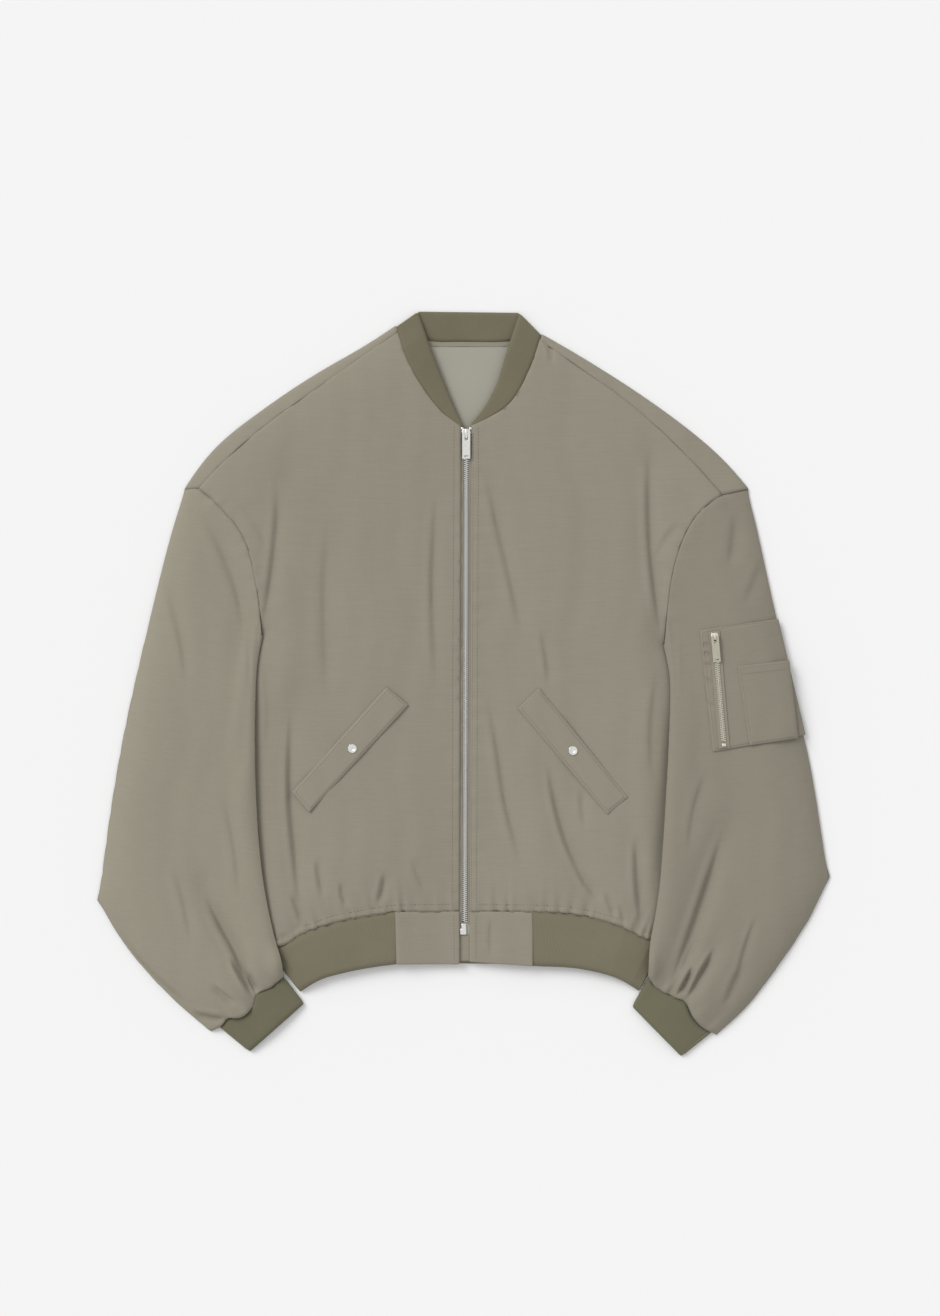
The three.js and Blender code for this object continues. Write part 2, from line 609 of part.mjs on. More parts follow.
function back() {
  const [r, l] = [SEAMS.right, SEAMS.left];
  const hem = hemLine('ribSeam', HEM_SEAM_MIDDLE);
  const leftSide = join(reversed(l.sideFold), reversed(l.armhole), reversed(l.capEnd));
  const rightSide = join(r.capEnd, r.armhole, r.sideFold);
  const top = join(reversed(l.shoulderFold), reversed(along(BACK_NECK, steps(8))), r.shoulderFold);
  const outline = movedIn(join(hem, leftSide, top, rightSide).slice(0, -1), SEAM_GAP / 2);
  const flat = manifoldOf(plate(outline, 0, CLOTH));
  const joined = flat.add(manifoldOf(shoulderWrap('right'))).add(manifoldOf(shoulderWrap('left')));
  addMesh('back', geometryOf(joined), 'cloth');
}


const WELL_ABOVE = 200;

// Height of a panel's own upper face at a place, from its cells.
function surfaceOf(geometry) {
  const caster = new THREE.Raycaster();
  const mesh = new THREE.Mesh(geometry, new THREE.MeshBasicMaterial({ side: THREE.DoubleSide }));
  return (x, y) => {
    caster.set(new THREE.Vector3(x, y, WELL_ABOVE), new THREE.Vector3(0, 0, -1));
    const [hit] = caster.intersectObject(mesh);
    return hit ? hit.point.z : null;
  };
}

// The highest that a panel reaches near a place: what a piece laid on it has to clear.
function restOn(surface, x, y, reach) {
  const around = [[0, 0], [reach, 0], [-reach, 0], [0, reach], [0, -reach]];
  const heights = around.map(([dx, dy]) => surface(x + dx, y + dy)).filter((z) => z !== null);
  return heights.length ? Math.max(...heights) : null;
}

// A patch laid on a panel between four corners, given from its lower edge round.
function patchOn(surface, { corners: [a, b, c, d], columns, rows, thickness, reach = 5 }, lift) {
  const across = steps(columns);
  const up = steps(rows);
  const [bottom, top] = [along([a, b], across), along([d, c], across)];
  const grid = gridBetween(bottom, top, along([a, d], up), along([b, c], up));
  let nearest = 0;
  return layer(grid, (x, y) => {
    nearest = restOn(surface, x, y, reach) ?? nearest;
    return nearest + lift + thickness;
  }, thickness);
}

const TABS = {
  right: { outer: [[-74.7, -249.7], [-73.3, -307.2]], bottom: -307.2 },
  left: { outer: [[75.8, -249.7], [75.8, -309.1]], bottom: -304.8 },
};

function hemTab(side) {
  const s = SEAMS[side];
  const { outer, bottom } = TABS[side];
  const inner = [[frontEdgeX(side, HEM_SEAM_MIDDLE), HEM_SEAM_MIDDLE], [frontEdgeX(side, bottom), bottom]];
  const rows = steps(4);
  const lower = along([outer[1], inner[1]], TAB_CELLS);
  const grid = gridBetween(s.tabSeam, lower, along(outer, rows), along(inner, rows));
  const heightAt = (x) => bodyHeight(side, x, HEM_SEAM_MIDDLE);
  addMesh(`hem_tab_${side}`, layer(insetGrid(grid), heightAt, CLOTH), 'cloth');
}

const NECK_TAPE = { from: -58, to: 70, width: 5, drop: 0.4 };
const V_BOTTOM = 268;

function neckPieces() {
  const neckline = along(BACK_NECK, steps(24)).filter(([x]) => x > NECK_TAPE.from && x < NECK_TAPE.to);
  const tapeTop = neckline.map(([x, y]) => [x, y - NECK_TAPE.drop]);
  const tapeFoot = neckline.map(([x, y]) => [x, y - NECK_TAPE.drop - NECK_TAPE.width]);
  const tapeOutline = tapeTop.concat(reversed(tapeFoot));
  addMesh('neck_tape', plate(tapeOutline, ON_BACK, LINING), 'tape');
  const liningTop = tapeFoot.map(([x, y]) => [x, y - SEAM_GAP]);
  const foot = [[24, V_BOTTOM], [-18, V_BOTTOM]];
  addMesh('back_lining', plate(liningTop.concat(foot), ON_BACK, LINING), 'lining');
}

const WELT = { thickness: 1.6, columns: 8, rows: 2 };
const WELTS = {
  right: { corners: [[-169.1, -140.3], [-60.4, -22.9], [-84.4, -3.3], [-188, -118.8]], snap: [-121.7, -70.6] },
  left: { corners: [[59.5, -26.6], [158, -142.8], [180.1, -123.9], [82.8, -4.5]], snap: [120.1, -72.9] },
};
const SNAP = { radius: 4.75, rim: 3.3, height: 1.6, dish: 0.7 };

function snapGeometry() {
  const { radius, rim, height, dish } = SNAP;
  const profile = [[0, 0], [radius - 0.4, 0], [radius, 0.4], [radius, height - 0.5], [radius - 0.5, height],
    [rim, height], [rim - 0.8, dish + 0.2], [0, dish]];
  const geometry = new THREE.LatheGeometry(profile.map(([x, y]) => new THREE.Vector2(x, y)), 20);
  geometry.rotateX(Math.PI / 2);
  return geometry;
}

function slantedPocket(side) {
  const { corners, snap } = WELTS[side];
  const panel = surfaceOf(panels[`front_${side}`]);
  const geometry = patchOn(panel, { ...WELT, corners }, LAID_GAP);
  addMesh(`welt_${side}`, geometry, 'cloth');
  const face = surfaceOf(geometry);
  const button = addMesh(`snap_${side}`, snapGeometry(), 'metal');
  button.position.set(snap[0], snap[1], restOn(face, ...snap, SNAP.radius) + SEAM_GAP);
}

// Sizes of a zip and of its slider and pull. Heights are over the zip's own level.
const MAIN_ZIP = {
  chainHalf: 2.65, chainFrom: -542.7, chainTo: -4, chainLow: 6.6, chainHigh: 8.9, tapeHalf: 13, tapeLow: 7.2,
  slider: { half: 4.95, from: -9, to: 0, plate: 1.1, top: 9.2, low: 5.2 },
  bridge: { half: 1, from: -7.5, to: -1.5, leg: 1.2, clear: 2.3, bar: 1 },
  pull: { half: 4.5, pivot: -5, bar: 0.75, length: 28, window: 6.75, windowHalf: 1.5, thick: 1.5, lift: 1.15 },
};
const SLEEVE_ZIP = {
  top: [274.5, 56.1], bottom: [285.1, -67.9], tapeHalf: 6, chainHalf: 2.1, chainFrom: 8,
  slider: { half: 4.2, from: -7.5, to: 0, plate: 1.4 },
  bridge: { half: 0.9, from: -6.6, to: -1, leg: 1.1, clear: 2.1, bar: 0.9 },
  pull: { half: 4.25, pivot: -4.2, bar: 0.7, length: 28, window: 6.4, windowHalf: 1.4, thick: 1.4, lift: 1.05 },
};

function block(x, y, z) {
  const geometry = new THREE.BoxGeometry(x[1] - x[0], y[1] - y[0], z[1] - z[0]);
  geometry.translate((x[0] + x[1]) / 2, (y[0] + y[1]) / 2, (z[0] + z[1]) / 2);
  return geometry;
}

const united = (geometries) => geometryOf(geometries.map(manifoldOf).reduce((all, one) => all.add(one)));

function roundedPlate(half, from, to, radius, low, high) {
  const shape = new THREE.Shape();
  shape.moveTo(-half + radius, from);
  shape.lineTo(half - radius, from);
  shape.absarc(half - radius, from + radius, radius, -Math.PI / 2, 0, false);
  shape.lineTo(half, to - radius);
  shape.absarc(half - radius, to - radius, radius, 0, Math.PI / 2, false);
  shape.lineTo(-half + radius, to);
  shape.absarc(-half + radius, to - radius, radius, Math.PI / 2, Math.PI, false);
  shape.lineTo(-half, from + radius);
  shape.absarc(-half + radius, from + radius, radius, Math.PI, 1.5 * Math.PI, false);
  const geometry = new THREE.ExtrudeGeometry(shape, { depth: high - low, bevelEnabled: false, curveSegments: 4 });
  geometry.translate(0, 0, low);
  return geometry;
}

// The loop on the slider that the pull swings in.
function bridgeOn(level, bridge) {
  const { half, from, to, leg, clear, bar } = bridge;
  const across = [-half, half];
  const root = level - 0.2;
  return [
    block(across, [from, from + leg], [root, level + clear + bar]),
    block(across, [to - leg, to], [root, level + clear + bar]),
    block(across, [from, to], [level + clear, level + clear + bar]),
  ];
}

// A pull modelled about its pivot, lying along -Y.
function pullGeometry(pull) {
  const { half, bar, length, window, windowHalf, thick } = pull;
  const blank = roundedPlate(half, -length, bar, 1.2, -thick / 2, thick / 2);
  const slot = roundedPlate(1.6, -length + 2.4, -length + 4, 0.7, -thick, thick);
  const opening = block([-windowHalf, windowHalf], [-bar - window, -bar], [-thick, thick]);
  return geometryOf(manifoldOf(blank).subtract(manifoldOf(opening)).subtract(manifoldOf(slot)));
}

function addPull(name, pull, level, parent) {
  const mesh = addMesh(name, pullGeometry(pull), 'metal', parent);
  mesh.position.set(0, pull.pivot, level + pull.lift);
}

function mainZip() {
  const zip = new THREE.Group();
  zip.position.set(ZIP_TOP[0], ZIP_TOP[1], 0);
  zip.rotation.z = -Math.atan2(ZIP_TOP[0] - ZIP_BOTTOM[0], ZIP_TOP[1] - ZIP_BOTTOM[1]);
  jacket.add(zip);
  const { chainHalf, chainFrom, chainTo, chainLow, chainHigh, tapeHalf, tapeLow, slider } = MAIN_ZIP;
  const tapeEdge = chainHalf + SEAM_GAP;
  const tapeTop = 2;
  const tape = (x) => block(x, [chainFrom, tapeTop], [tapeLow, tapeLow + TAPE]);
  addMesh('zip_tape_right', tape([-tapeHalf, -tapeEdge]), 'tape', zip);
  addMesh('zip_tape_left', tape([tapeEdge, tapeHalf]), 'tape', zip);
  addMesh('zip_chain', block([-chainHalf, chainHalf], [chainFrom, chainTo], [chainLow, chainHigh]), 'metal', zip);
  const plateAt = (low) => roundedPlate(slider.half, slider.from, slider.to, 2, low, low + slider.plate);
  const level = slider.top + slider.plate;
  const post = block([-1.2, 1.2], [chainTo + SEAM_GAP, slider.to - 0.6], [slider.low + 0.2, slider.top + 0.2]);
  const body = united([plateAt(slider.low), plateAt(slider.top), post, ...bridgeOn(level, MAIN_ZIP.bridge)]);
  addMesh('zip_slider', body, 'metal', zip);
  addPull('zip_pull', MAIN_ZIP.pull, level, zip);
  const stopLow = tapeLow + TAPE + SEAM_GAP;
  const stop = (x) => block(x, [0.4, 2], [stopLow, stopLow + 1.8]);
  addMesh('zip_stop_right', stop([-5.4, -3.2]), 'metal', zip);
  addMesh('zip_stop_left', stop([3.2, 5.4]), 'metal', zip);
  const boxTop = chainFrom - SEAM_GAP;
  addMesh('zip_box', block([-5.2, 2], [boxTop - 12, boxTop], [chainLow, chainHigh + 0.4]), 'metal', zip);
  const strip = [tapeLow, tapeLow + TAPE];
  addMesh('hem_underlay', block([-13, 13], [-584, boxTop - 12 - SEAM_GAP], strip), 'cloth', zip);
}

const PATCHES = {
  pocket: {
    corners: [[273.2, -74], [375.2, -55.6], [345.4, 71.3], [258.7, 59]],
    columns: 9, rows: 9, thickness: 1.2,
  },
  pen: {
    corners: [[313.2, -66.8], [366.4, -59], [357, 25.9], [300.2, 19.7]],
    columns: 6, rows: 6, thickness: 1.2,
  },
};

// The patch on the left sleeve, with its pen patch and its zip.
function sleevePocket() {
  const { pocket, pen } = PATCHES;
  const lay = (name, on, patch, finish, lift) => {
    const geometry = patchOn(surfaceOf(on), patch, lift);
    addMesh(name, geometry, finish);
    return geometry;
  };
  const base = lay('sleeve_pocket', panels.sleeve_left, pocket, 'cloth', LAID_GAP);
  lay('pen_pocket', base, pen, 'cloth', 1.5 * LAID_GAP);
  const { top, bottom, tapeHalf, chainHalf, chainFrom, slider, bridge, pull } = SLEEVE_ZIP;
  const length = Math.hypot(bottom[0] - top[0], bottom[1] - top[1]);
  const down = [(bottom[0] - top[0]) / length, (bottom[1] - top[1]) / length];
  const at = (across, distance) => [
    top[0] + down[0] * distance - down[1] * across, top[1] + down[1] * distance + down[0] * across,
  ];
  const band = (half, from, to, rows, thickness) => ({
    corners: [at(-half, to), at(half, to), at(half, from), at(-half, from)], columns: 2, rows, thickness, reach: 3,
  });
  const tape = lay('sleeve_zip_tape', base, band(tapeHalf, -2, length + 2, 12, LINING), 'tape', SEAM_GAP);
  lay('sleeve_zip_chain', tape, band(chainHalf, chainFrom, length - 3, 12, 1.2), 'metal', SEAM_GAP);
  lay('sleeve_zip_stop', tape, band(chainHalf + 0.4, length - 2.6, length, 2, 1.8), 'metal', SEAM_GAP);
  const zip = new THREE.Group();
  zip.position.set(top[0], top[1], 0);
  zip.rotation.z = Math.asin(down[0]);
  jacket.add(zip);
  const low = restOn(surfaceOf(tape), ...at(0, 0), slider.half) + SEAM_GAP;
  const level = low + slider.plate;
  const body = roundedPlate(slider.half, slider.from, slider.to, 1.8, low, level);
  addMesh('sleeve_zip_slider', united([body, ...bridgeOn(level, bridge)]), 'metal', zip);
  addPull('sleeve_zip_pull', pull, level, zip);
}

['right', 'left'].forEach((side) => {
  frontPanel(side);
  sleeve(side);
  cuff(side);
  hemTab(side);
  slantedPocket(side);
});
back();
hemRib();
collar();
neckPieces();
mainZip();
sleevePocket();

export default jacket;
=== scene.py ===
"""Dresses the laid bomber jacket: cloth panels, rib knits, lining, zips, snaps and stitching."""
import math
from typing import NamedTuple

import bmesh
import bpy
import numpy as np
from mathutils import Matrix, Vector
from mathutils.bvhtree import BVHTree
from mathutils.kdtree import KDTree


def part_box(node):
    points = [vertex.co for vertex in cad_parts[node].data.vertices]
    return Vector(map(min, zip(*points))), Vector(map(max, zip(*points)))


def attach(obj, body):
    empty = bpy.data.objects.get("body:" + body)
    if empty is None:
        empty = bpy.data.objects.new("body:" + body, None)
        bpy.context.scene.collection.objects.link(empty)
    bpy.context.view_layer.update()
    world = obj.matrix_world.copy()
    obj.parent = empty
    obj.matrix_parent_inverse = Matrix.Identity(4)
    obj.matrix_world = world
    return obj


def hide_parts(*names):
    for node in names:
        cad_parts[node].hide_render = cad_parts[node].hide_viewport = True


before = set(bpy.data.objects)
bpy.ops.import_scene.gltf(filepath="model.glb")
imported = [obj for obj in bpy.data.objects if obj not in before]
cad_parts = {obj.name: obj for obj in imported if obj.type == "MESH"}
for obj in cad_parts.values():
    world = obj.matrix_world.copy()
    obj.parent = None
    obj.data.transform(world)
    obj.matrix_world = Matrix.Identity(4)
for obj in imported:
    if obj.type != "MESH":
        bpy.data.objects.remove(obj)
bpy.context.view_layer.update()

bl_info = {
    "name": "Bomber jacket",
    "version": (1, 0, 0),
    "blender": (4, 5, 0),
    "location": "3D View > Sidebar > Jacket",
    "description": "Makes the visible pieces of a bomber jacket that is laid flat",
    "category": "Object",
}

MM = 0.001
SIDES = ("right", "left")

# Lines of the rib pieces, in millimetres: the seam and the free edge of each, from the fold inwards.
RIB_LINES = {
    "hem_right": {
        "seam": [(-221, -284), (-201.9, -286.8), (-174.6, -273), (-144.4, -262.1), (-103.4, -253.9), (-74.7, -249.7)],
        "edge": [(-180, -338.7), (-158.1, -325), (-130.8, -316.8), (-103.4, -311.3), (-73.3, -307.2)],
    },
    "hem_left": {
        "seam": [(222, -281), (204.5, -280), (170.3, -264.9), (142.9, -256.6), (112.8, -251.1), (75.8, -249.7)],
        "edge": [(193.5, -337.4), (170.3, -323.7), (129.1, -312.7), (75.8, -309.1)],
    },
    "hem_back": {
        "seam": [(-74.7, -249.7), (0, -249.5), (75.8, -249.7)],
        "edge": [(-73.3, -307.2), (0, -307.2), (75.8, -309.1)],
    },
    "collar_right": {
        "seam": [(-73.6, 393), (-62.8, 357.6), (-41.4, 319.8), (-21.1, 295.8), (-2.6, 283.1)],
        "edge": [(-50.2, 409.4), (-39.5, 377.9), (-28.7, 350), (-13.5, 312.2), (-2.6, 286.9)],
    },
    "collar_left": {
        "seam": [(85.6, 383.6), (72.3, 345), (47.1, 304.6), (21.8, 289.4), (8.9, 283.8)],
        "edge": [(61.6, 408.1), (48.3, 367.7), (33.2, 322.3), (21.8, 302.1), (8.9, 286.4)],
    },
    "collar_back": {
        "seam": [(-73.6, 393), (-40, 378), (0, 376.5), (50, 377), (85.6, 383.6)],
        "edge": [(-50.2, 409.4), (61.6, 408.1)],
    },
    "cuff_right": {
        "seam": [(-268.4, -376.9), (-258.8, -366.9), (-244.2, -365.4), (-230.1, -350.9), (-227.8, -341.8),
                 (-210.5, -331.8), (-197.8, -321.2)],
        "edge": [(-235.1, -404.3), (-174.9, -350.9)],
    },
    "cuff_left": {
        "seam": [(273, -382.6), (264.7, -378.2), (251.9, -364.9), (243.5, -349.1), (222.4, -340.3), (212, -333.4),
                 (203.3, -321.6)],
        "edge": [(239.6, -409.5), (185.1, -354.1)],
    },
}


# Shader maths

class Sock:
    """A shader value that can be used in Python expressions."""

    def __init__(self, shade, socket):
        self.shade = shade
        self.socket = socket

    def _math(self, operation, other):
        return self.shade.node("ShaderNodeMath", {"operation": operation}, {0: self, 1: other})

    def __add__(self, other):
        return self._math("ADD", other)

    __radd__ = __add__

    def __rsub__(self, other):
        return self.shade.node("ShaderNodeMath", {"operation": "SUBTRACT"}, {0: other, 1: self})

    def __mul__(self, other):
        return self._math("MULTIPLY", other)

    __rmul__ = __mul__

    def sine(self):
        return self._math("SINE", 0.0)

    def least(self, other):
        return self._math("MINIMUM", other)


class Shade:
    """A material's node tree, with one method for every node that isn't plain maths."""

    def __init__(self, name):
        self.material = bpy.data.materials.new(name)
        self.material.use_nodes = True
        self.tree = self.material.node_tree
        self.tree.nodes.clear()

    def link(self, value, socket):
        if isinstance(value, Sock):
            self.tree.links.new(value.socket, socket)
        else:
            socket.default_value = value

    def node(self, kind, settings=None, values=None, out=0):
        made = self.tree.nodes.new(kind)
        for key, value in (settings or {}).items():
            setattr(made, key, value)
        for key, value in (values or {}).items():
            self.link(value, made.inputs[key])
        return Sock(self, made.outputs[out])

    def coordinates(self, turn=0.0, scale=(1.0, 1.0, 1.0)):
        place = self.node("ShaderNodeTexCoord", out="Object")
        turned = self.node("ShaderNodeMapping", None, {"Vector": place, "Rotation": (0, 0, math.radians(turn))})
        return self.node("ShaderNodeVectorMath", {"operation": "MULTIPLY"}, {0: turned, 1: scale})

    def noise(self, vector, scale, detail=2.0, roughness=0.5):
        return self.node("ShaderNodeTexNoise", None,
                         {"Vector": vector, "Scale": scale, "Detail": detail, "Roughness": roughness})

    def mix(self, share, one, two):
        # A mix node keeps a set of sockets for each type. These are the ones for colours.
        return self.node("ShaderNodeMix", {"data_type": "RGBA"}, {0: share, 6: one, 7: two}, out=2)

    def bump(self, height, strength, distance):
        return self.node("ShaderNodeBump", None, {"Height": height, "Strength": strength, "Distance": distance})

    def surface(self, values):
        skin = self.node("ShaderNodeBsdfPrincipled", None, values)
        self.link(skin, self.tree.nodes.new("ShaderNodeOutputMaterial").inputs["Surface"])
        return self.material


# How fine the woven cloth's grain is: waves for each metre across, along and through the cloth.
SLUB_SCALE = (38, 950, 60)
THREAD_SCALE = (900, 60, 60)
WEAVE_SCALE = (9000, 9000, 9000)
# How much darker and lighter than its colour the cloth gets.
TONE_SPREAD = 0.16


def linear(colour, factor=1.0):
    """A display colour of 0 to 255 as a shader's linear one, with its alpha."""
    shares = [c / 255 for c in colour]
    line = [c / 12.92 if c <= 0.04045 else ((c + 0.055) / 1.055) ** 2.4 for c in shares]
    return tuple(min(1.0, c * factor) for c in line) + (1.0,)


def woven_material(name, colour, turn=0.0):
    """Fine cloth with short thick threads across, a plain weave and faint clouds of tone."""
    shade = Shade(name)
    slubs = shade.noise(shade.coordinates(turn, SLUB_SCALE), 1.0, 3.0, 0.6)
    threads = shade.noise(shade.coordinates(turn, THREAD_SCALE), 1.0, 2.0, 0.5)
    clouds = shade.noise(shade.coordinates(turn), 9.0, 3.0, 0.55)
    across, down = (
        shade.node("ShaderNodeSeparateXYZ", None, {"Vector": shade.coordinates(turn, WEAVE_SCALE)}, out=axis)
        for axis in (0, 1))
    weave = across.sine() * down.sine()
    tone = slubs * 0.55 + threads * 0.2 + clouds * 0.25
    base = shade.mix(tone, linear(colour, 1 - TONE_SPREAD), linear(colour, 1 + TONE_SPREAD))
    height = slubs * 0.7 + threads * 0.2 + weave * 0.1
    return shade.surface({
        "Base Color": base, "Roughness": 0.78 + slubs * 0.16, "Normal": shade.bump(height, 0.55, 0.00035),
        "Sheen Weight": 0.12, "Sheen Roughness": 0.45, "Specular IOR Level": 0.3,
    })


def lining_material(name, colour):
    """Smooth thin cloth with a quiet gloss and hardly any grain."""
    shade = Shade(name)
    threads = shade.noise(shade.coordinates(0, (60, 1400, 60)), 1.0, 2.0, 0.5)
    clouds = shade.noise(shade.coordinates(), 14.0, 2.0, 0.5)
    base = shade.mix(clouds, linear(colour, 0.96), linear(colour, 1.05))
    return shade.surface({
        "Base Color": base, "Roughness": 0.55 + threads * 0.1, "Normal": shade.bump(threads, 0.3, 0.0001),
        "Specular IOR Level": 0.35,
    })


def knit_material(name, colour):
    """Rib knit: the valleys between the ribs, kept with the mesh, get painted shade, and the stitches rise in rows.
    """
    shade = Shade(name)
    valley = shade.node("ShaderNodeAttribute", {"attribute_name": "valley"}, out="Fac")
    course = shade.node("ShaderNodeAttribute", {"attribute_name": "course"}, out="Fac")
    clouds = shade.noise(shade.coordinates(), 22.0, 3.0, 0.6)
    fuzz = shade.noise(shade.coordinates(), 1400.0, 2.0, 0.6)
    stitches = (course * math.tau).sine() * 0.5 + 0.5
    # Painted shade in the valleys between the ribs, and a little tone along the stitch rows.
    deep = valley * 0.34 + stitches * 0.10
    tone = shade.mix(clouds, linear(colour, 0.90), linear(colour, 1.12))
    base = shade.mix(deep.least(1.0), tone, linear(colour, 0.50))
    height = stitches * 0.5 * (1 - valley) + fuzz * 0.35
    return shade.surface({
        "Base Color": base, "Roughness": 0.92, "Normal": shade.bump(height, 0.5, 0.0003), "Sheen Weight": 0.18,
        "Sheen Roughness": 0.5, "Specular IOR Level": 0.2,
    })


def metal_material(name, colour, rough):
    """Bright nickel with faint rub marks."""
    shade = Shade(name)
    marks = shade.noise(shade.coordinates(20, (900, 120, 500)), 1.0, 3.0, 0.6)
    dull = shade.noise(shade.coordinates(), 260.0, 2.0, 0.5)
    base = shade.mix(dull, linear(colour, 0.86), linear(colour, 1.05))
    return shade.surface({
        "Base Color": base, "Metallic": 1.0, "Roughness": rough + marks * 0.14,
        "Normal": shade.bump(marks, 0.12, 0.00008),
    })


def floor_material(name, colour):
    """A plain pale sheet with hardly any tooth."""
    shade = Shade(name)
    tooth = shade.noise(shade.coordinates(), 900.0, 2.0, 0.5)
    base = shade.mix(tooth, linear(colour, 0.995), linear(colour, 1.005))
    return shade.surface({"Base Color": base, "Roughness": 0.95, "Specular IOR Level": 0.1})


# Lines and sheets

def smooth_line(points, count):
    """Points at even steps of a smooth line that passes through the given ones."""
    given = np.asarray(points, float)
    steps = np.linalg.norm(np.diff(given, axis=0), axis=1)
    at = np.concatenate([[0], np.cumsum(steps)])
    slopes = np.gradient(given, at, axis=0) if len(given) > 2 else np.repeat((given[1:] - given[:1]) / at[1], 2, 0)
    dense = np.linspace(0, at[-1], 40 * len(given))
    cell = np.clip(np.searchsorted(at, dense, side="right") - 1, 0, len(given) - 2)
    width = (at[cell + 1] - at[cell])[:, None]
    t = ((dense - at[cell])[:, None]) / width
    curve = ((1 + 2 * t) * (1 - t) ** 2 * given[cell] + t * (1 - t) ** 2 * width * slopes[cell]
             + t * t * (3 - 2 * t) * given[cell + 1] + t * t * (t - 1) * width * slopes[cell + 1])
    run = np.concatenate([[0], np.cumsum(np.linalg.norm(np.diff(curve, axis=0), axis=1))])
    even = np.linspace(0, run[-1], count)
    return np.stack([np.interp(even, run, curve[:, k]) for k in range(curve.shape[1])], axis=1)


def nearest_on(line, places):
    """For each place: how far the line is, how far along it that is, and which side the place is on."""
    line = np.asarray(line, float)
    best = np.full(len(places), np.inf)
    along = np.zeros(len(places))
    side = np.zeros(len(places))
    run = 0.0
    for start, end in zip(line[:-1], line[1:]):
        step = end - start
        length = float(np.hypot(*step))
        offset = places - start
        share = np.clip(offset @ step / length ** 2, 0, 1)
        apart = offset - share[:, None] * step
        distance = np.hypot(apart[:, 0], apart[:, 1])
        closer = distance < best
        best[closer] = distance[closer]
        along[closer] = run + share[closer] * length
        side[closer] = np.sign(step[0] * offset[:, 1] - step[1] * offset[:, 0])[closer]
        run += length
    return best, along, side, run


def eased(t):
    t = np.clip(t, 0, 1)
    return t * t * (3 - 2 * t)


# Where the light comes from in plan. A fold falls off steeply towards it, and has its ridge there.
LIT_SIDE = (-0.74, 0.67)


def crease(places, line, width, depth):
    """A soft fold line: a trough that is steeper on one side, with a low ridge beside it, fading at both ends."""
    distance, along, side, length = nearest_on(smooth_line(line, 24), places)
    ends = eased(along / (0.35 * length)) * eased((length - along) / (0.35 * length))
    way = np.subtract(line[-1], line[0])
    lit = np.sign(way[0] * LIT_SIDE[1] - way[1] * LIT_SIDE[0])
    across = distance * side * lit / (width / 2)
    steep = np.where(across > 0, 2.0, 0.5)
    trough = np.exp(-(across * steep) ** 2)
    ridge = np.exp(-((across - 1.5) / 0.9) ** 2)
    return depth * ends * (0.3 * ridge - trough)


def uneven(values, seed):
    """A slow irregular wave between about -1 and 1."""
    return (np.sin(values + seed * 2.1) + 0.6 * np.sin(1.73 * values + seed * 5.3)
            + 0.4 * np.sin(3.11 * values + seed * 1.7)) / 1.7


def gathers(places, line, pitch, reach, depth, seed):
    """Small uneven puckers that run away from a seam, each of its own length."""
    distance, along, _, _ = nearest_on(smooth_line(line, 60), places)
    turn = math.tau * along / pitch
    wave = np.sin(turn + 1.4 * uneven(turn / 3.7, seed))
    strength = 0.55 + 0.45 * uneven(turn / 5.3, seed + 1)
    length = reach * (0.65 + 0.35 * uneven(turn / 2.3, seed + 2))
    return depth * strength * wave * np.exp(-(distance / length) ** 1.5)


def casing(places, line, width, height):
    """A narrow band that is turned up and sewn along a seam: raised, with a groove at its far side."""
    distance, along, _, length = nearest_on(smooth_line(line, 60), places)
    ends = eased(along / 6) * eased((length - along) / 6)
    raised = eased(distance / 1.5) * eased((width + 1 - distance) / 2.5)
    groove = np.exp(-((distance - width - 1.2) / 1.5) ** 2)
    return height * ends * (raised - 0.9 * groove)


def drape(places, seed):
    """Slow waves of a few tenths of a millimetre, longer down the cloth than across it."""
    x, y = places[:, 0] / 15, places[:, 1] / 55
    return uneven(x + 0.8 * uneven(y, seed), seed + 3) * (0.75 + 0.25 * uneven(y * 1.3, seed + 1))


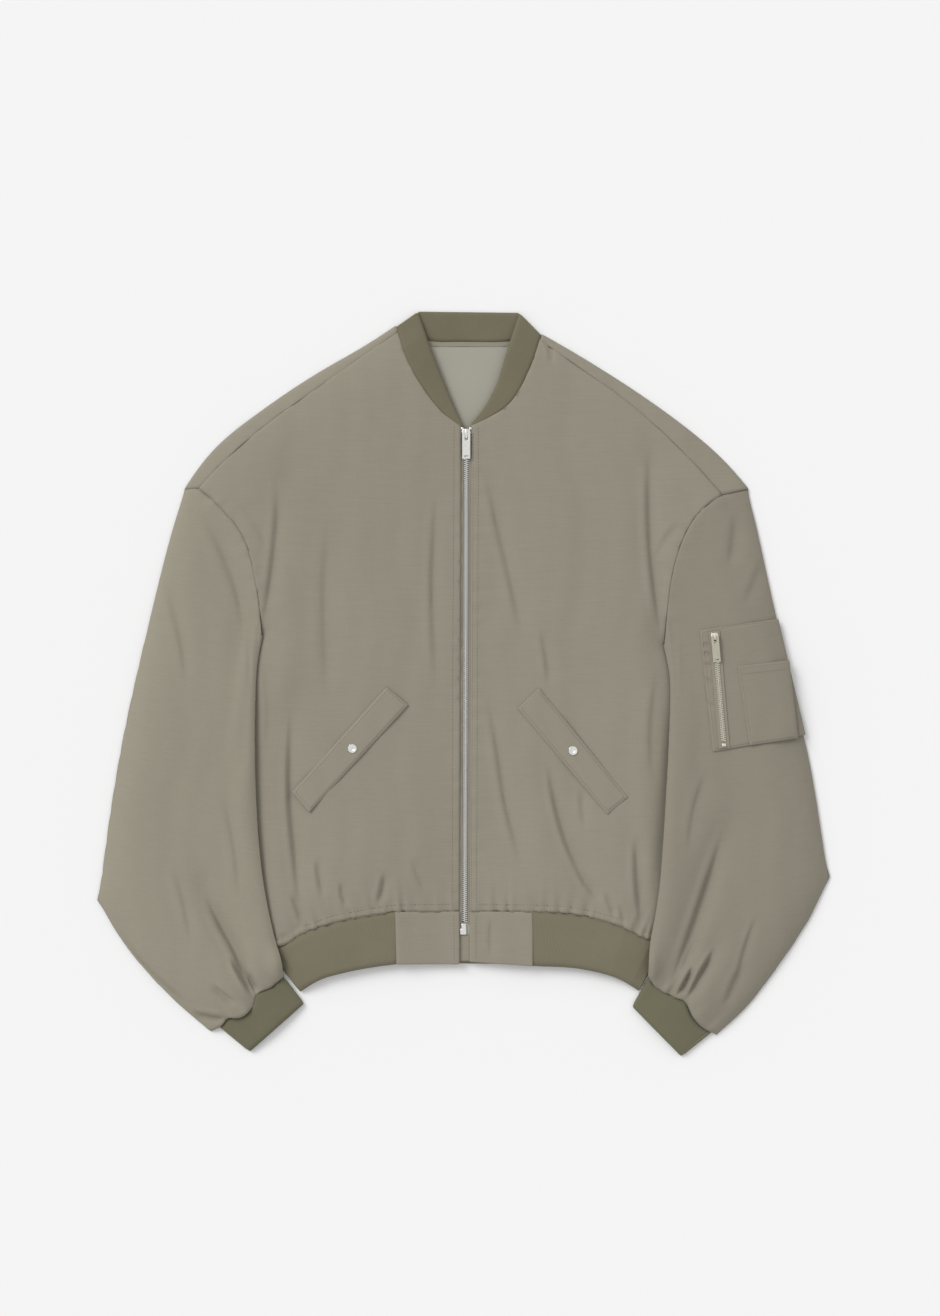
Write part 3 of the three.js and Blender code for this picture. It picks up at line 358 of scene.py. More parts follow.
# Crease lines of each panel, in millimetres: width across, depth, and points of the line.
CREASES = {
    "front_right": [
        (9, 1.6, [(-205.6, 232), (-204.5, 190), (-207.7, 147.8), (-212.9, 105.8), (-221, 54)]),
        (16, 1.0, [(-146.9, 202), (-152, 80), (-146.9, -40)]),
        (9, 1.2, [(-29, 224), (-34, 100), (-29, -18)]),
        (8, 2.0, [(-188.7, -17.6), (-190.9, -127.6), (-184, -200), (-177.7, -259.6)]),
        (7, 1.6, [(-161.2, -188), (-158, -215), (-152.4, -236)]),
        (6, 1.8, [(-86.4, -205), (-90, -225), (-95, -243)]),
        (5, 1.4, [(-136, -215), (-133, -232), (-129, -246)]),
        (6, 1.2, [(-190, -228), (-183, -246), (-176, -266)]),
        (8, 0.8, [(-58, -190), (-50, -210), (-40, -232)]),
        (12, 0.8, [(-222, 40), (-214, -20), (-216, -90)]),
        (10, 0.7, [(-250, 200), (-225, 170), (-212, 140)]),
        (34, 1.6, [(-226, 30), (-229, -60), (-226, -150), (-208, -285)]),
    ],
    "front_left": [
        (34, 1.6, [(226, 20), (227, -60), (219, -170), (205, -285)]),
        (9, 1.3, [(23.7, 240.9), (36, 180), (51.2, 114.4), (67.7, 37.4)]),
        (9, 1.2, [(84.2, 64.9), (91, 30), (95.2, -6.6)]),
        (9, 1.5, [(25.9, -6.6), (37, -70), (45.7, -127.6), (67.7, -210)]),
        (7, 2.0, [(91.9, -78), (99, -125), (111.7, -171.6), (139.2, -229.9)]),
        (9, 2.0, [(205.2, 268.4), (203, 210), (205.2, 147.4), (218.4, 42.9)]),
        (8, 1.8, [(188.7, -160.6), (190, -215), (195, -268)]),
        (8, 0.9, [(128.2, -111), (130, -136), (133.7, -160.6)]),
        (6, 1.5, [(122.7, -204.6), (136, -222), (150.2, -240)]),
        (5, 1.3, [(153, -228), (160, -242), (166, -256)]),
        (4, 1.0, [(168, -240), (173, -252), (176, -262)]),
        (10, 0.8, [(214, 20), (206, -50), (208, -110)]),
        (8, 0.7, [(240, 180), (222, 160), (208, 132)]),
        (4, 1.4, [(92.9, 378.6), (94.5, 365), (94, 350)]),
    ],
    "sleeve_right": [
        (14, 1.4, [(-289.9, 196.9), (-262, 140), (-245.9, 92.4), (-240.4, 48.4)]),
        (10, 1.0, [(-330, 120), (-312, 60), (-300, -10)]),
        (9, 2.4, [(-284.4, -226.6), (-268, -262), (-251.4, -292.6), (-232.7, -345.4)]),
        (6, 3.2, [(-256, -300), (-243, -322), (-229.5, -344)]),
        (5, 2.4, [(-239.5, -316), (-233, -329), (-226.5, -341)]),
        (7, 1.8, [(-276, -328), (-262, -340), (-247, -352)]),
        (6, 3.0, [(-298, -360), (-279, -364), (-257, -367)]),
        (3.5, 1.2, [(-385, -262), (-346, -312), (-312, -343), (-284, -364)]),
        (12, 1.0, [(-262, -120), (-250, -180), (-244, -240)]),
        (9, 0.8, [(-320, -190), (-306, -240), (-296, -290)]),
    ],
    "sleeve_left": [
        (12, 1.2, [(298.7, 191), (296, 158), (291, 125)]),
        (10, 0.8, [(330, 140), (318, 110), (306, 84)]),
        (9, 2.4, [(287.7, -155), (268, -215), (249.2, -270.6), (225, -336.6)]),
        (6, 3.6, [(252, -308), (243, -326), (233.5, -344)]),
        (6, 3.0, [(276.4, -288.2), (266, -306), (257.8, -319.7), (245, -348)]),
        (8, 1.4, [(305.9, -305), (294.1, -331.5), (285, -356)]),
        (10, 1.2, [(256.9, -275.6), (247, -298), (238.2, -319.7)]),
        (9, 0.8, [(268, -90), (252, -140), (246, -190)]),
        (6, 1.0, [(322, -250), (308, -290), (298, -330)]),
    ],
    "hem_tab_left": [
        (8, 0.6, [(31, -252), (29.5, -276), (30.5, -303)]),
    ],
    "hem_tab_right": [
        (6, 0.3, [(-70, -256), (-58, -264), (-48, -270)]),
    ],
    "sleeve_pocket": [
        (5, 0.6, [(261, 45), (266, 44), (271.5, 41)]),
        (5, 0.7, [(261.5, 35), (267, 34), (272.5, 30)]),
        (5, 0.7, [(262.5, 25), (268, 22), (273.5, 19)]),
        (6, 0.5, [(264, 8), (270, 4), (275.5, -1)]),
        (5, 0.5, [(266, -18), (271, -22), (277, -25)]),
    ],
}

# Puckers along the seams: panel, spacing, reach, height, and points of the seam.
PUCKERS = [
    ("front_right", 15, 26, 0.8, [(-221, -284), (-201.9, -286.8), (-174.6, -273), (-103.4, -253.9), (-8, -249.5)]),
    ("front_left", 14, 26, 0.8, [(222, -281), (204.5, -280), (170.3, -264.9), (112.8, -251.1), (10, -249.5)]),
    ("front_right", 6.5, 10, 0.5, [(-221, -284), (-174.6, -273), (-144.4, -262.1), (-103.4, -253.9), (-74, -249.7)]),
    ("front_left", 6.5, 10, 0.5, [(222, -281), (170.3, -264.9), (142.9, -256.6), (112.8, -251.1), (75, -249.7)]),
    ("front_right", 26, 12, 0.35, [(-8, -249), (-5, 0), (-3, 280)]),
    ("front_left", 24, 12, 0.35, [(11, -249), (14, 0), (16, 280)]),
    ("sleeve_right", 17, 26, 0.6, [(-268.4, -376.9), (-230.1, -350.9), (-197.8, -321.2)]),
    ("sleeve_left", 17, 26, 0.6, [(273, -382.6), (243.5, -349.1), (203.3, -321.6)]),
]
# Width and height of the turned-up band that each front has above the hem rib.
CASING = (6, 1.3)

# The seam between each front and its sleeve, from the shoulder down.
ARMHOLES = {
    "right": [(-290.8, 215.2), (-280.3, 206.8), (-259.3, 185.8), (-240.4, 158.4), (-230.8, 126.8), (-225.6, 95.3),
              (-221.4, 52.4)],
    "left": [(283.3, 207.9), (263.7, 193.8), (246.3, 169.8), (237.6, 150.3), (228.8, 117.7), (223.3, 74.3),
             (220.6, 42.9)],
}
# Spacing, reach and height of the puckers along them.
ARMHOLE_PUCKERS = (21, 13, 0.35)

# Where a sleeve's cuff seam meets its outer fold, and how many points stand for a seam.
CUFF_TIPS = {"right": (-277.1, -381.4), "left": (277.4, -384.6)}
SEAM_SAMPLES = 1200
# How far a cut edge may lie from its seam to be drawn onto it, before and after the panel is made finer.
COARSE_REACH = 6
FINE_REACH = 3


def triangles_of(name):
    """A CAD node's closed surface in metres, with its doubled points merged and its faces turned outwards."""
    node = bpy.data.objects[name]
    shape = bmesh.new()
    shape.from_mesh(node.data)
    shape.transform(node.matrix_world)
    bmesh.ops.remove_doubles(shape, verts=shape.verts, dist=1e-5)
    bmesh.ops.recalc_face_normals(shape, faces=shape.faces)
    return shape


def outer_skin(name, keep_under=False, lowest=None):
    """The outer side of a cloth wall: what a ray leaves without meeting the same piece again."""
    skin = triangles_of(name)
    tree = BVHTree.FromBMesh(skin)
    inner = []
    for face in skin.faces:
        normal = face.normal
        way = Vector((0, 0, math.copysign(1, normal.z))) if abs(normal.z) > 0.3 else normal
        hit = tree.ray_cast(face.calc_center_median() + way * 2e-5, way)[0]
        cut_edge = abs(normal.z) < 0.02
        if hit is not None or cut_edge or (not keep_under and normal.z < 0.15):
            inner.append(face)
    bmesh.ops.delete(skin, geom=inner, context="FACES")
    if lowest is not None:
        low = [v for v in skin.verts if v.co.z < lowest]
        bmesh.ops.delete(skin, geom=low, context="VERTS")
    bmesh.ops.join_triangles(skin, faces=skin.faces, angle_face_threshold=1.2, angle_shape_threshold=1.2)
    return skin


def seams_of(node):
    """The seam lines that bound a panel's cut edge, as points in millimetres."""
    kind, _, side = node.partition("_")
    if node == "back":
        return [RIB_LINES["collar_right"]["seam"], RIB_LINES["collar_left"]["seam"]]
    if side not in SIDES:
        return []
    if kind == "front":
        return [ARMHOLES[side], RIB_LINES[f"hem_{side}"]["seam"], RIB_LINES[f"collar_{side}"]["seam"]]
    if kind == "sleeve":
        return [ARMHOLES[side], [CUFF_TIPS[side], *RIB_LINES[f"cuff_{side}"]["seam"]]]
    return []


def draw_to_seams(shape, lines, reach):
    """Moves cut edges onto the seams that they run along, within a reach in millimetres."""
    if not lines:
        return
    samples = [smooth_line(line, SEAM_SAMPLES)[1:-1] * MM for line in lines]
    tree = KDTree(sum(len(line) for line in samples))
    ends = set()
    for line in samples:
        ends |= {tuple(np.round(line[0], 7)), tuple(np.round(line[-1], 7))}
    for i, (x, y) in enumerate(np.concatenate(samples)):
        tree.insert((x, y, 0), i)
    tree.balance()
    for vertex in shape.verts:
        if vertex.is_boundary:
            place, _, distance = tree.find((vertex.co.x, vertex.co.y, 0))
            at_end = tuple(np.round(place[:2], 7)) in ends
            if distance < (0.5 if at_end else reach) * MM:
                vertex.co.xy = place.xy


def object_from(skin, name):
    mesh = bpy.data.meshes.new(name)
    skin.to_mesh(mesh)
    skin.free()
    made = bpy.data.objects.new(name, mesh)
    bpy.context.scene.collection.objects.link(made)
    return made


def deselect():
    for thing in bpy.context.selected_objects:
        thing.select_set(False)


def pick(things):
    """Selects only these objects, and makes the first of them active."""
    deselect()
    for thing in things:
        thing.select_set(True)
    bpy.context.view_layer.objects.active = things[0]


def apply_modifier(thing, kind, **settings):
    """Adds one modifier, sets it and applies it."""
    pick([thing])
    made = thing.modifiers.new(kind.lower(), kind)
    for key, value in settings.items():
        setattr(made, key, value)
    bpy.ops.object.modifier_apply(modifier=made.name)


def points_of(mesh):
    points = np.empty(len(mesh.vertices) * 3)
    mesh.vertices.foreach_get("co", points)
    return points.reshape(-1, 3)


def edge_distance(mesh):
    """How far each point is from the panel's own cut edge, in millimetres."""
    shape = bmesh.new()
    shape.from_mesh(mesh)
    rim = [v.co.copy() for v in shape.verts if v.is_boundary]
    shape.free()
    if not rim:
        return np.full(len(mesh.vertices), 1e3)
    tree = KDTree(len(rim))
    for i, point in enumerate(rim):
        tree.insert(point, i)
    tree.balance()
    return np.array([tree.find(v.co)[2] for v in mesh.vertices]) / MM


def panel_relief(panel, places, strength):
    """The creases and puckers that a panel has, as heights in millimetres at its points."""
    height = 0.45 * strength * drape(places, len(panel) * 0.7)
    kind, _, side = panel.partition("_")
    if kind == "front":
        height += casing(places, RIB_LINES[f"hem_{side}"]["seam"], *CASING)
    for width, depth, line in CREASES.get(panel, ()):
        height += strength * crease(places, line, width, depth)
    for seed, (name, pitch, reach, depth, line) in enumerate(PUCKERS):
        if name == panel:
            height += strength * gathers(places, line, pitch, reach, depth, seed * 1.37)
    if kind in ("front", "sleeve") and side in SIDES:
        height += strength * gathers(places, ARMHOLES[side], *ARMHOLE_PUCKERS, len(panel))
    return height


# Corners of the folded outline that stay sharp, in millimetres.
SHARP_CORNERS = [(-403.2, -237.6), (403.2, -212)]


def sharpen_corners(mesh, widest):
    """Marks the points that smoothing leaves in place: the sleeves' outer corners, and those of the cut edge.

    widest is the largest angle between two edges that still counts as a corner, in degrees.
    """
    shape = bmesh.new()
    shape.from_mesh(mesh)
    marks = []
    for vertex in shape.verts:
        outer = any((vertex.co.xy / MM - Vector(corner)).length < 4 for corner in SHARP_CORNERS)
        ends = [edge.other_vert(vertex).co - vertex.co for edge in vertex.link_edges if edge.is_boundary]
        turns = len(ends) == 2 and ends[0].xy.length > 0 and ends[1].xy.length > 0
        corner = turns and ends[0].xy.angle(ends[1].xy) < math.radians(widest)
        marks.append(0.9 if outer else float(corner))
    shape.free()
    mesh.attributes.new("crease_vert", "FLOAT", "POINT").data.foreach_set("value", marks)


def cloth_panel(name, node, levels, material, keep_under=False, lowest=None, groove=None):
    """A panel of cloth on its solid's form, with its creases, its edges drawn into the seams and its thickness.

    keep_under keeps the side that lies on the surface. groove is how far the cloth sinks at its edge.
    """
    sizes = bpy.context.scene.jacket_cloth
    skin = outer_skin(node, keep_under, lowest)
    seams = seams_of(node)
    draw_to_seams(skin, seams, COARSE_REACH)
    made = object_from(skin, name)
    sharpen_corners(made.data, 110 if keep_under else 150)
    apply_modifier(made, "SUBSURF", levels=levels, render_levels=levels, boundary_smooth="PRESERVE_CORNERS")
    mesh = made.data
    points = points_of(mesh)
    normals = np.array([v.normal for v in mesh.vertices])
    places = points[:, :2] / MM
    height = panel_relief(node, places, sizes.crease_strength)
    depth = sizes.seam_depth if groove is None else groove
    from_edge = edge_distance(mesh)
    height -= depth * np.exp(-(from_edge / sizes.seam_width) ** 2)
    points[:, 2] += height * eased((normals[:, 2] - 0.1) / 0.5) * MM
    sideways = 1 - normals[:, 2:] ** 2
    points[:, :2] += normals[:, :2] * sideways * sizes.fold_fullness * MM
    points[:, 2] = np.maximum(points[:, 2], 0.0 if keep_under else sizes.thickness * MM)
    mesh.vertices.foreach_set("co", points.ravel())
    mesh.update()
    spread_edge(mesh, seams, sizes.seam_closing * MM)
    apply_modifier(made, "SOLIDIFY", thickness=sizes.thickness * MM, offset=-1.0, use_even_offset=False)
    finish_cloth(made, material)
    return made


def spread_edge(mesh, seams, reach):
    """Draws a panel's cut edge to its seams and a little over them, so that it meets the next piece there."""
    shape = bmesh.new()
    shape.from_mesh(mesh)
    draw_to_seams(shape, seams, FINE_REACH)
    moves = {}
    for vertex in shape.verts:
        if vertex.is_boundary:
            within = [e.other_vert(vertex).co for e in vertex.link_edges if not e.is_boundary]
            if within:
                away = vertex.co.xy - (sum(within, Vector()) / len(within)).xy
                moves[vertex] = away.normalized() * reach if away.length > 0 else Vector((0, 0))
    for vertex, move in moves.items():
        vertex.co.xy += move
    shape.to_mesh(mesh)
    shape.free()


def finish_cloth(made, material):
    made.data.materials.clear()
    made.data.materials.append(material)
    made.data.shade_smooth()


class CastAbove:
    """Heights of the upper side of some pieces, looked up by place in millimetres."""

    def __init__(self, names):
        self.trees = []
        for name in names:
            shape = triangles_of(name)
            self.trees.append(BVHTree.FromBMesh(shape))
            shape.free()

    def top(self, x, y):
        hits = [tree.ray_cast(Vector((x * MM, y * MM, 1.0)), Vector((0, 0, -1)))[0] for tree in self.trees]
        heights = [hit.z / MM for hit in hits if hit is not None]
        return max(heights) if heights else None


# Knits

# Half the thickness of a rib knit, the radius of its turn at a fold, and what both take from a flat stretch.
KNIT_HALF = 1.25
TURN_RADIUS = 1.4
TURN_TAKE = TURN_RADIUS + KNIT_HALF
# How far from a knit's two edges, as shares of its width, its height is looked up. The first that meets the
# solid counts.
EDGE_MARGINS = (0.05, 0.12, 0.2, 0.3)


def turned(seam, edge, towards):
    """Stations round a fold, from its upper side to its lower one: seam and edge are its two ends.

    A station is a row of eight numbers: x, y, height and whether it lies on the solid, for the seam and the edge.
    """
    seam, edge, towards = (np.asarray(point, float) for point in (seam, edge, towards))
    line = edge - seam
    outward = np.array([line[1], -line[0]]) / np.hypot(*line)
    if outward @ (towards - seam) > 0:
        outward = -outward
    stations = []
    for turn in np.linspace(math.pi / 2, -math.pi / 2, 9):
        shift = outward * (TURN_RADIUS * math.cos(turn) - TURN_RADIUS - KNIT_HALF)
        height = KNIT_HALF + TURN_RADIUS + TURN_RADIUS * math.sin(turn)
        stations.append((*(seam + shift), height, 0, *(edge + shift), height, 0))
    return stations


def flat_stations(seam, edge, count, upper, start=0.0, end=0.0):
    """Stations of a level stretch of rib. start and end are what a fold takes from its ends, in millimetres."""
    seam, edge = (smooth_line(line, count * 4) for line in (seam, edge))
    length = np.linalg.norm(np.diff(seam, axis=0), axis=1).sum()
    shares = np.linspace(start / length, 1 - end / length, count) * (count * 4 - 1)
    whole = np.arange(count * 4)
    rows = [np.interp(shares, whole, line[:, k]) for line in (seam, edge) for k in (0, 1)]
    height = np.full(count, KNIT_HALF)
    flag = np.full(count, float(upper))
    return [tuple(row) for row in np.stack([rows[0], rows[1], height, flag, rows[2], rows[3], height, flag], axis=1)]


def knit_shell(name, node, stations, across, knit, material, closed=False):
    """A rib knit strip through its stations: its ribs run from the seam to the free edge and keep their pitch."""
    rows = np.array(stations + stations[:1] if closed else stations, float)
    middle = (rows[:, :3] + rows[:, 4:7]) / 2
    run = np.concatenate([[0], np.cumsum(np.linalg.norm(np.diff(middle, axis=0), axis=1))])
    ribs = round(run[-1] / knit.rib_pitch)
    count = ribs * knit.rib_samples
    at = np.linspace(0, run[-1], count + 1)[:count if closed else count + 1]
    fine = np.stack([np.interp(at, run, rows[:, k]) for k in range(8)], axis=1)
    shares = np.linspace(0, 1, across + 1)
    centre = fine[:, None, :3] * (1 - shares[None, :, None]) + fine[:, None, 4:7] * shares[None, :, None]
    above = CastAbove([node])
    for i in np.nonzero(fine[:, 3] > 0.5)[0]:
        for j, share in enumerate(shares):
            for margin in EDGE_MARGINS:
                inside = min(max(share, margin), 1 - margin)
                top = above.top(*(fine[i, :2] * (1 - inside) + fine[i, 4:6] * inside))
                if top is not None:
                    centre[i, j, 2] = top - KNIT_HALF
                    break
    return rib_surface(name, centre, ribs * at / run[-1], shares, knit, material, closed)


def rib_surface(name, centre, rib_at, shares, knit, material, closed):
    """Both sides of a knit from its middle surface, with a ridge along every rib and a rounded free edge."""
    if closed:
        along = np.roll(centre, -1, axis=0) - np.roll(centre, 1, axis=0)
    else:
        along = np.gradient(centre, axis=0)
    normal = np.cross(along, np.gradient(centre, axis=1))
    normal /= np.linalg.norm(normal, axis=2, keepdims=True)
    wave = 0.5 + 0.5 * np.cos(math.tau * rib_at)
    ends = 1 - 0.75 * np.maximum(0, (shares - 0.93) / 0.07) ** 2 - 0.25 * np.maximum(0, (0.05 - shares) / 0.05) ** 2
    half = KNIT_HALF * ends[None, :] - knit.rib_height * (1 - wave[:, None]) * np.ones_like(shares)[None, :]
    sides = [centre + normal * half[:, :, None], centre - normal * half[:, :, None]]
    lines, rows = centre.shape[:2]
    points = np.concatenate([side.reshape(-1, 3) for side in sides])
    under = lines * rows
    spans = [(i, (i + 1) % lines) for i in range(lines if closed else lines - 1)]
    faces = []
    for i, k in spans:
        for j in range(rows - 1):
            a, b, c, d = i * rows + j, k * rows + j, k * rows + j + 1, i * rows + j + 1
            faces += [(a, b, c, d), (d + under, c + under, b + under, a + under)]
        for j, flip in ((0, False), (rows - 1, True)):
            loop = (i * rows + j, i * rows + j + under, k * rows + j + under, k * rows + j)
            faces.append(loop[::-1] if flip else loop)
    if not closed:
        for i, flip in ((0, True), (lines - 1, False)):
            for j in range(rows - 1):
                loop = (i * rows + j, i * rows + j + under, i * rows + j + 1 + under, i * rows + j + 1)
                faces.append(loop[::-1] if flip else loop)
    mesh = bpy.data.meshes.new(name)
    mesh.from_pydata((points * MM).tolist(), [], faces)
    length = np.linalg.norm(centre[:, -1] - centre[:, 0], axis=1)
    course = (shares[None, :] * length[:, None] / knit.course_pitch).ravel()
    for label, values in (("valley", np.repeat(1 - wave, rows)), ("course", course)):
        stored = mesh.attributes.new(label, "FLOAT", "POINT")
        stored.data.foreach_set("value", np.tile(values, 2))
    shape = bmesh.new()
    shape.from_mesh(mesh)
    bmesh.ops.recalc_face_normals(shape, faces=shape.faces)
    shape.to_mesh(mesh)
    shape.free()
    made = bpy.data.objects.new(name, mesh)
    bpy.context.scene.collection.objects.link(made)
    finish_cloth(made, material)
    return made


def band_round(right, left, back, count):
    """Stations of a band that lies double: in from the right front, round behind, and out at the left front."""
    stations = flat_stations(right["seam"][::-1], right["edge"][::-1], count, True, end=TURN_TAKE)
    stations += turned(right["seam"][0], right["edge"][0], right["seam"][-1])
    stations += flat_stations(back["seam"], back["edge"], 2 * count, False, start=TURN_TAKE, end=TURN_TAKE)
    stations += turned(left["seam"][0], left["edge"][0], left["seam"][-1])[::-1]
    stations += flat_stations(left["seam"], left["edge"], count, True, start=TURN_TAKE)
    return stations


def cuff_round(lines, count):
    """Stations of a cuff, all the way round."""
    seam, edge = lines["seam"], lines["edge"]
    return (flat_stations(seam, edge, count, True, start=TURN_TAKE, end=TURN_TAKE)
            + turned(seam[-1], edge[-1], seam[0])
            + flat_stations(seam[::-1], edge[::-1], count, False, start=TURN_TAKE, end=TURN_TAKE)
            + turned(seam[0], edge[0], seam[-1])[::-1])


# Settings that a user would change

def setting(name, description, default, low, high, **more):
    """A number that a user can change. Lengths are in millimetres, unless their unit says otherwise."""
    return bpy.props.FloatProperty(name=name, description=description, default=default, min=low, max=high, **more)


def colour_setting(piece, default):
    return bpy.props.FloatVectorProperty(
        name=f"{piece} colour", description=f"Display colour: {piece.lower()}", subtype="COLOR", size=3,
        default=default, min=0, max=1)


class ClothSizes(bpy.types.PropertyGroup):
    """How the woven panels look."""

    thickness: setting("Thickness", "Thickness of the cloth", 1.2, 0.3, 3)
    crease_strength: setting("Creases", "How deep the creases are", 1.9, 0, 3)
    seam_depth: setting("Seam depth", "How far cloth sinks at a seam", 0.45, 0, 3)
    seam_width: setting("Seam width", "How wide the dip at a seam is", 2.0, 0.5, 9)
    seam_closing: setting("Seam closing", "How far cut edges reach into the seams", 0.3, 0, 1)
    fold_fullness: setting("Fold fullness", "How far the folded edges swell outwards", 1.4, 0, 5)
    colour: colour_setting("Cloth", (0.565, 0.541, 0.484))
    lining: colour_setting("Lining", (0.625, 0.612, 0.563))


class KnitSizes(bpy.types.PropertyGroup):
    """How the rib knits look."""

    rib_pitch: setting("Rib pitch", "From rib to rib", 1.6, 1, 6)
    rib_height: setting("Rib height", "How deep the valley between two ribs is", 0.24, 0, 1)
    rib_samples: bpy.props.IntProperty(
        name="Rows to a rib", description="Mesh rows that each rib is made of", default=4, min=3, max=12)
    course_pitch: setting("Stitch pitch", "From stitch to stitch along a rib", 1.1, 0.4, 4)
    hem_colour: colour_setting("Hem", (0.498, 0.476, 0.396))
    collar_colour: colour_setting("Collar", (0.470, 0.449, 0.366))
    cuff_colour: colour_setting("Cuffs", (0.450, 0.437, 0.354))


class StageSizes(bpy.types.PropertyGroup):
    """The floor, the light and the camera."""

    floor_size: setting("Floor", "Side of the floor", 8.0, 2, 40, unit="LENGTH")
    camera_height: setting("Camera height", "Height of the camera over the floor", 3.418, 1, 20, unit="LENGTH")
    key_power: setting("Key light", "Strength of the soft light from the upper left", 1.57, 0, 20)
    key_softness: setting("Softness", "How wide the soft light is, in degrees", 32, 1, 90)
    world: setting("Surrounding light", "Strength of the even light from all round", 0.70, 0, 5)


def shown(colour):
    """A property's display colour as numbers from 0 to 255."""
    return tuple(255 * c for c in colour)


def shared_material(name, make, *values):
    """The material of that name, made only once."""
    return bpy.data.materials.get(name) or make(name, *values)


def cloth_material(turn=0, nap=1.0):
    """The body cloth, with its weave turned, and its colour scaled by a factor of painted light: above 1 it lightens,
    below 1 it paints shade.
    """
    colour = tuple(c * nap for c in shown(bpy.context.scene.jacket_cloth.colour))
    return shared_material(f"cloth_{turn}_{nap:.2f}", woven_material, colour, turn)


# How far each sleeve's weave is turned, in degrees, and a factor on its colour: painted light on the right sleeve and
# painted shade on the left, for the light that falls from the upper left.
RIGHT_SLEEVE_TURN_AND_PAINTED_LIGHT = (11, 1.02)
LEFT_SLEEVE_TURN_AND_PAINTED_SHADE = (-11, 0.96)


def keep(made, nodes, body="jacket"):
    """Lets a piece ride on its body and stand for its nodes."""
    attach(made, body)
    if nodes:
        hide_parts(*nodes)


# In millimetres.
LINING_THICKNESS = 0.8


def lay_panel(node, rests_on, levels, material, **how):
    """Makes the cloth panel that stands for one node."""
    made = cloth_panel(f"cloth_{node}", node, levels, material, **how)
    keep(made, [node])


# Operators

class Making:
    """What the operators share: each makes its pieces, and then reports that it has finished."""

    def execute(self, context):
        self.make(context.scene)
        return {"FINISHED"}


class JacketFronts(Making, bpy.types.Operator):
    """Make the two front panels"""

    bl_idname = "jacket.fronts"
    bl_label = "Front panels"

    def make(self, scene):
        for side in SIDES:
            lay_panel(f"front_{side}", "back", 3, cloth_material())


class JacketSleeves(Making, bpy.types.Operator):
    """Make the two sleeves"""

    bl_idname = "jacket.sleeves"
    bl_label = "Sleeves"

    def make(self, scene):
        # Each sleeve's colour carries its painted light (right) or painted shade (left).
        for side, nap in (("right", RIGHT_SLEEVE_TURN_AND_PAINTED_LIGHT), ("left", LEFT_SLEEVE_TURN_AND_PAINTED_SHADE)):
            lay_panel(f"sleeve_{side}", "back", 3, cloth_material(*nap), keep_under=True)


class JacketBack(Making, bpy.types.Operator):
    """Make the back panel: its flat part, and the two strips that turn forward over the shoulders"""

    bl_idname = "jacket.back"
    bl_label = "Back panel"

    def make(self, scene):
        sizes = scene.jacket_cloth
        flat = flat_sheet("cloth_back", "back", sizes.thickness * MM, cloth_material())
        keep(flat, ["back"])
        strips = cloth_panel("cloth_shoulder_strips", "back", 3, cloth_material(), lowest=1.6 * MM)
        keep(strips, [])


def flat_sheet(name, node, thickness, material):
    """A level sheet with the outline of the node's lowest faces."""
    shape = triangles_of(node)
    floor = min(v.co.z for v in shape.verts)
    low = [f for f in shape.faces if f.normal.z < -0.9 and f.calc_center_median().z < floor + 0.1 * MM]
    chosen = set(low)
    bmesh.ops.delete(shape, geom=[f for f in shape.faces if f not in chosen], context="FACES")
    bmesh.ops.dissolve_limit(shape, angle_limit=0.02, verts=shape.verts, edges=shape.edges)
    made = object_from(shape, name)
    apply_modifier(made, "SOLIDIFY", thickness=thickness, offset=-1.0)
    finish_cloth(made, material)
    made.data.shade_flat()
    return made


class JacketHemTabs(Making, bpy.types.Operator):
    """Make the cloth tabs at the two front ends of the hem, and the strip under the zip's end"""

    bl_idname = "jacket.hem_tabs"
    bl_label = "Hem tabs"

    def make(self, scene):
        for node in ("hem_tab_right", "hem_tab_left", "hem_underlay"):
            lay_panel(node, "back", 4, cloth_material(), groove=0.35)


class JacketLining(Making, bpy.types.Operator):
    """Make the lining and the tape that show inside the neck"""

    bl_idname = "jacket.lining"
    bl_label = "Neck lining"

    def make(self, scene):
        sizes = scene.jacket_cloth
        lining = lining_material("lining", shown(sizes.lining))
        tape = shared_material("tape_neck", woven_material, shown(sizes.colour), 0)
        for name, node, material, slot in (("lining_back", "back_lining", lining, "lining"),
                                           ("tape_neck", "neck_tape", tape, "tape")):
            made = flat_sheet(name, node, LINING_THICKNESS * MM, material)
            keep(made, [node])


class JacketWelts(Making, bpy.types.Operator):
    """Make the welts of the two slanted pockets"""

    bl_idname = "jacket.welts"
    bl_label = "Slanted pockets"

    def make(self, scene):
        for side, turn in (("right", -47), ("left", 47)):
            lay_panel(f"welt_{side}", f"cloth_front_{side}", 4, cloth_material(turn), groove=1.0)


class JacketSleevePocket(Making, bpy.types.Operator):
    """Make the patch pocket on the left sleeve and the pen pocket on it"""

    bl_idname = "jacket.sleeve_pocket"
    bl_label = "Sleeve pocket"

    def make(self, scene):
        for node in ("sleeve_pocket", "pen_pocket"):
            # The pockets take the left sleeve's painted shade.
            lay_panel(node, "cloth_sleeve_left", 4, cloth_material(*LEFT_SLEEVE_TURN_AND_PAINTED_SHADE), groove=0.9)


class JacketHemRib(Making, bpy.types.Operator):
    """Knit the hem band"""

    bl_idname = "jacket.hem_rib"
    bl_label = "Hem rib"

    def make(self, scene):
        knit = scene.jacket_knit
        seam = [RIB_LINES["hem_right"], RIB_LINES["hem_left"]]
        back = {key: smooth_line(seam[0][key], 12).tolist() + RIB_LINES["hem_back"][key][1:2]
                + smooth_line(seam[1][key], 12).tolist()[::-1] for key in ("seam", "edge")}
        material = knit_material("knit_hem", shown(knit.hem_colour))
        made = knit_shell("knit_hem", "hem_rib", band_round(*seam, back, 50), 9, knit, material)
        keep(made, ["hem_rib"])


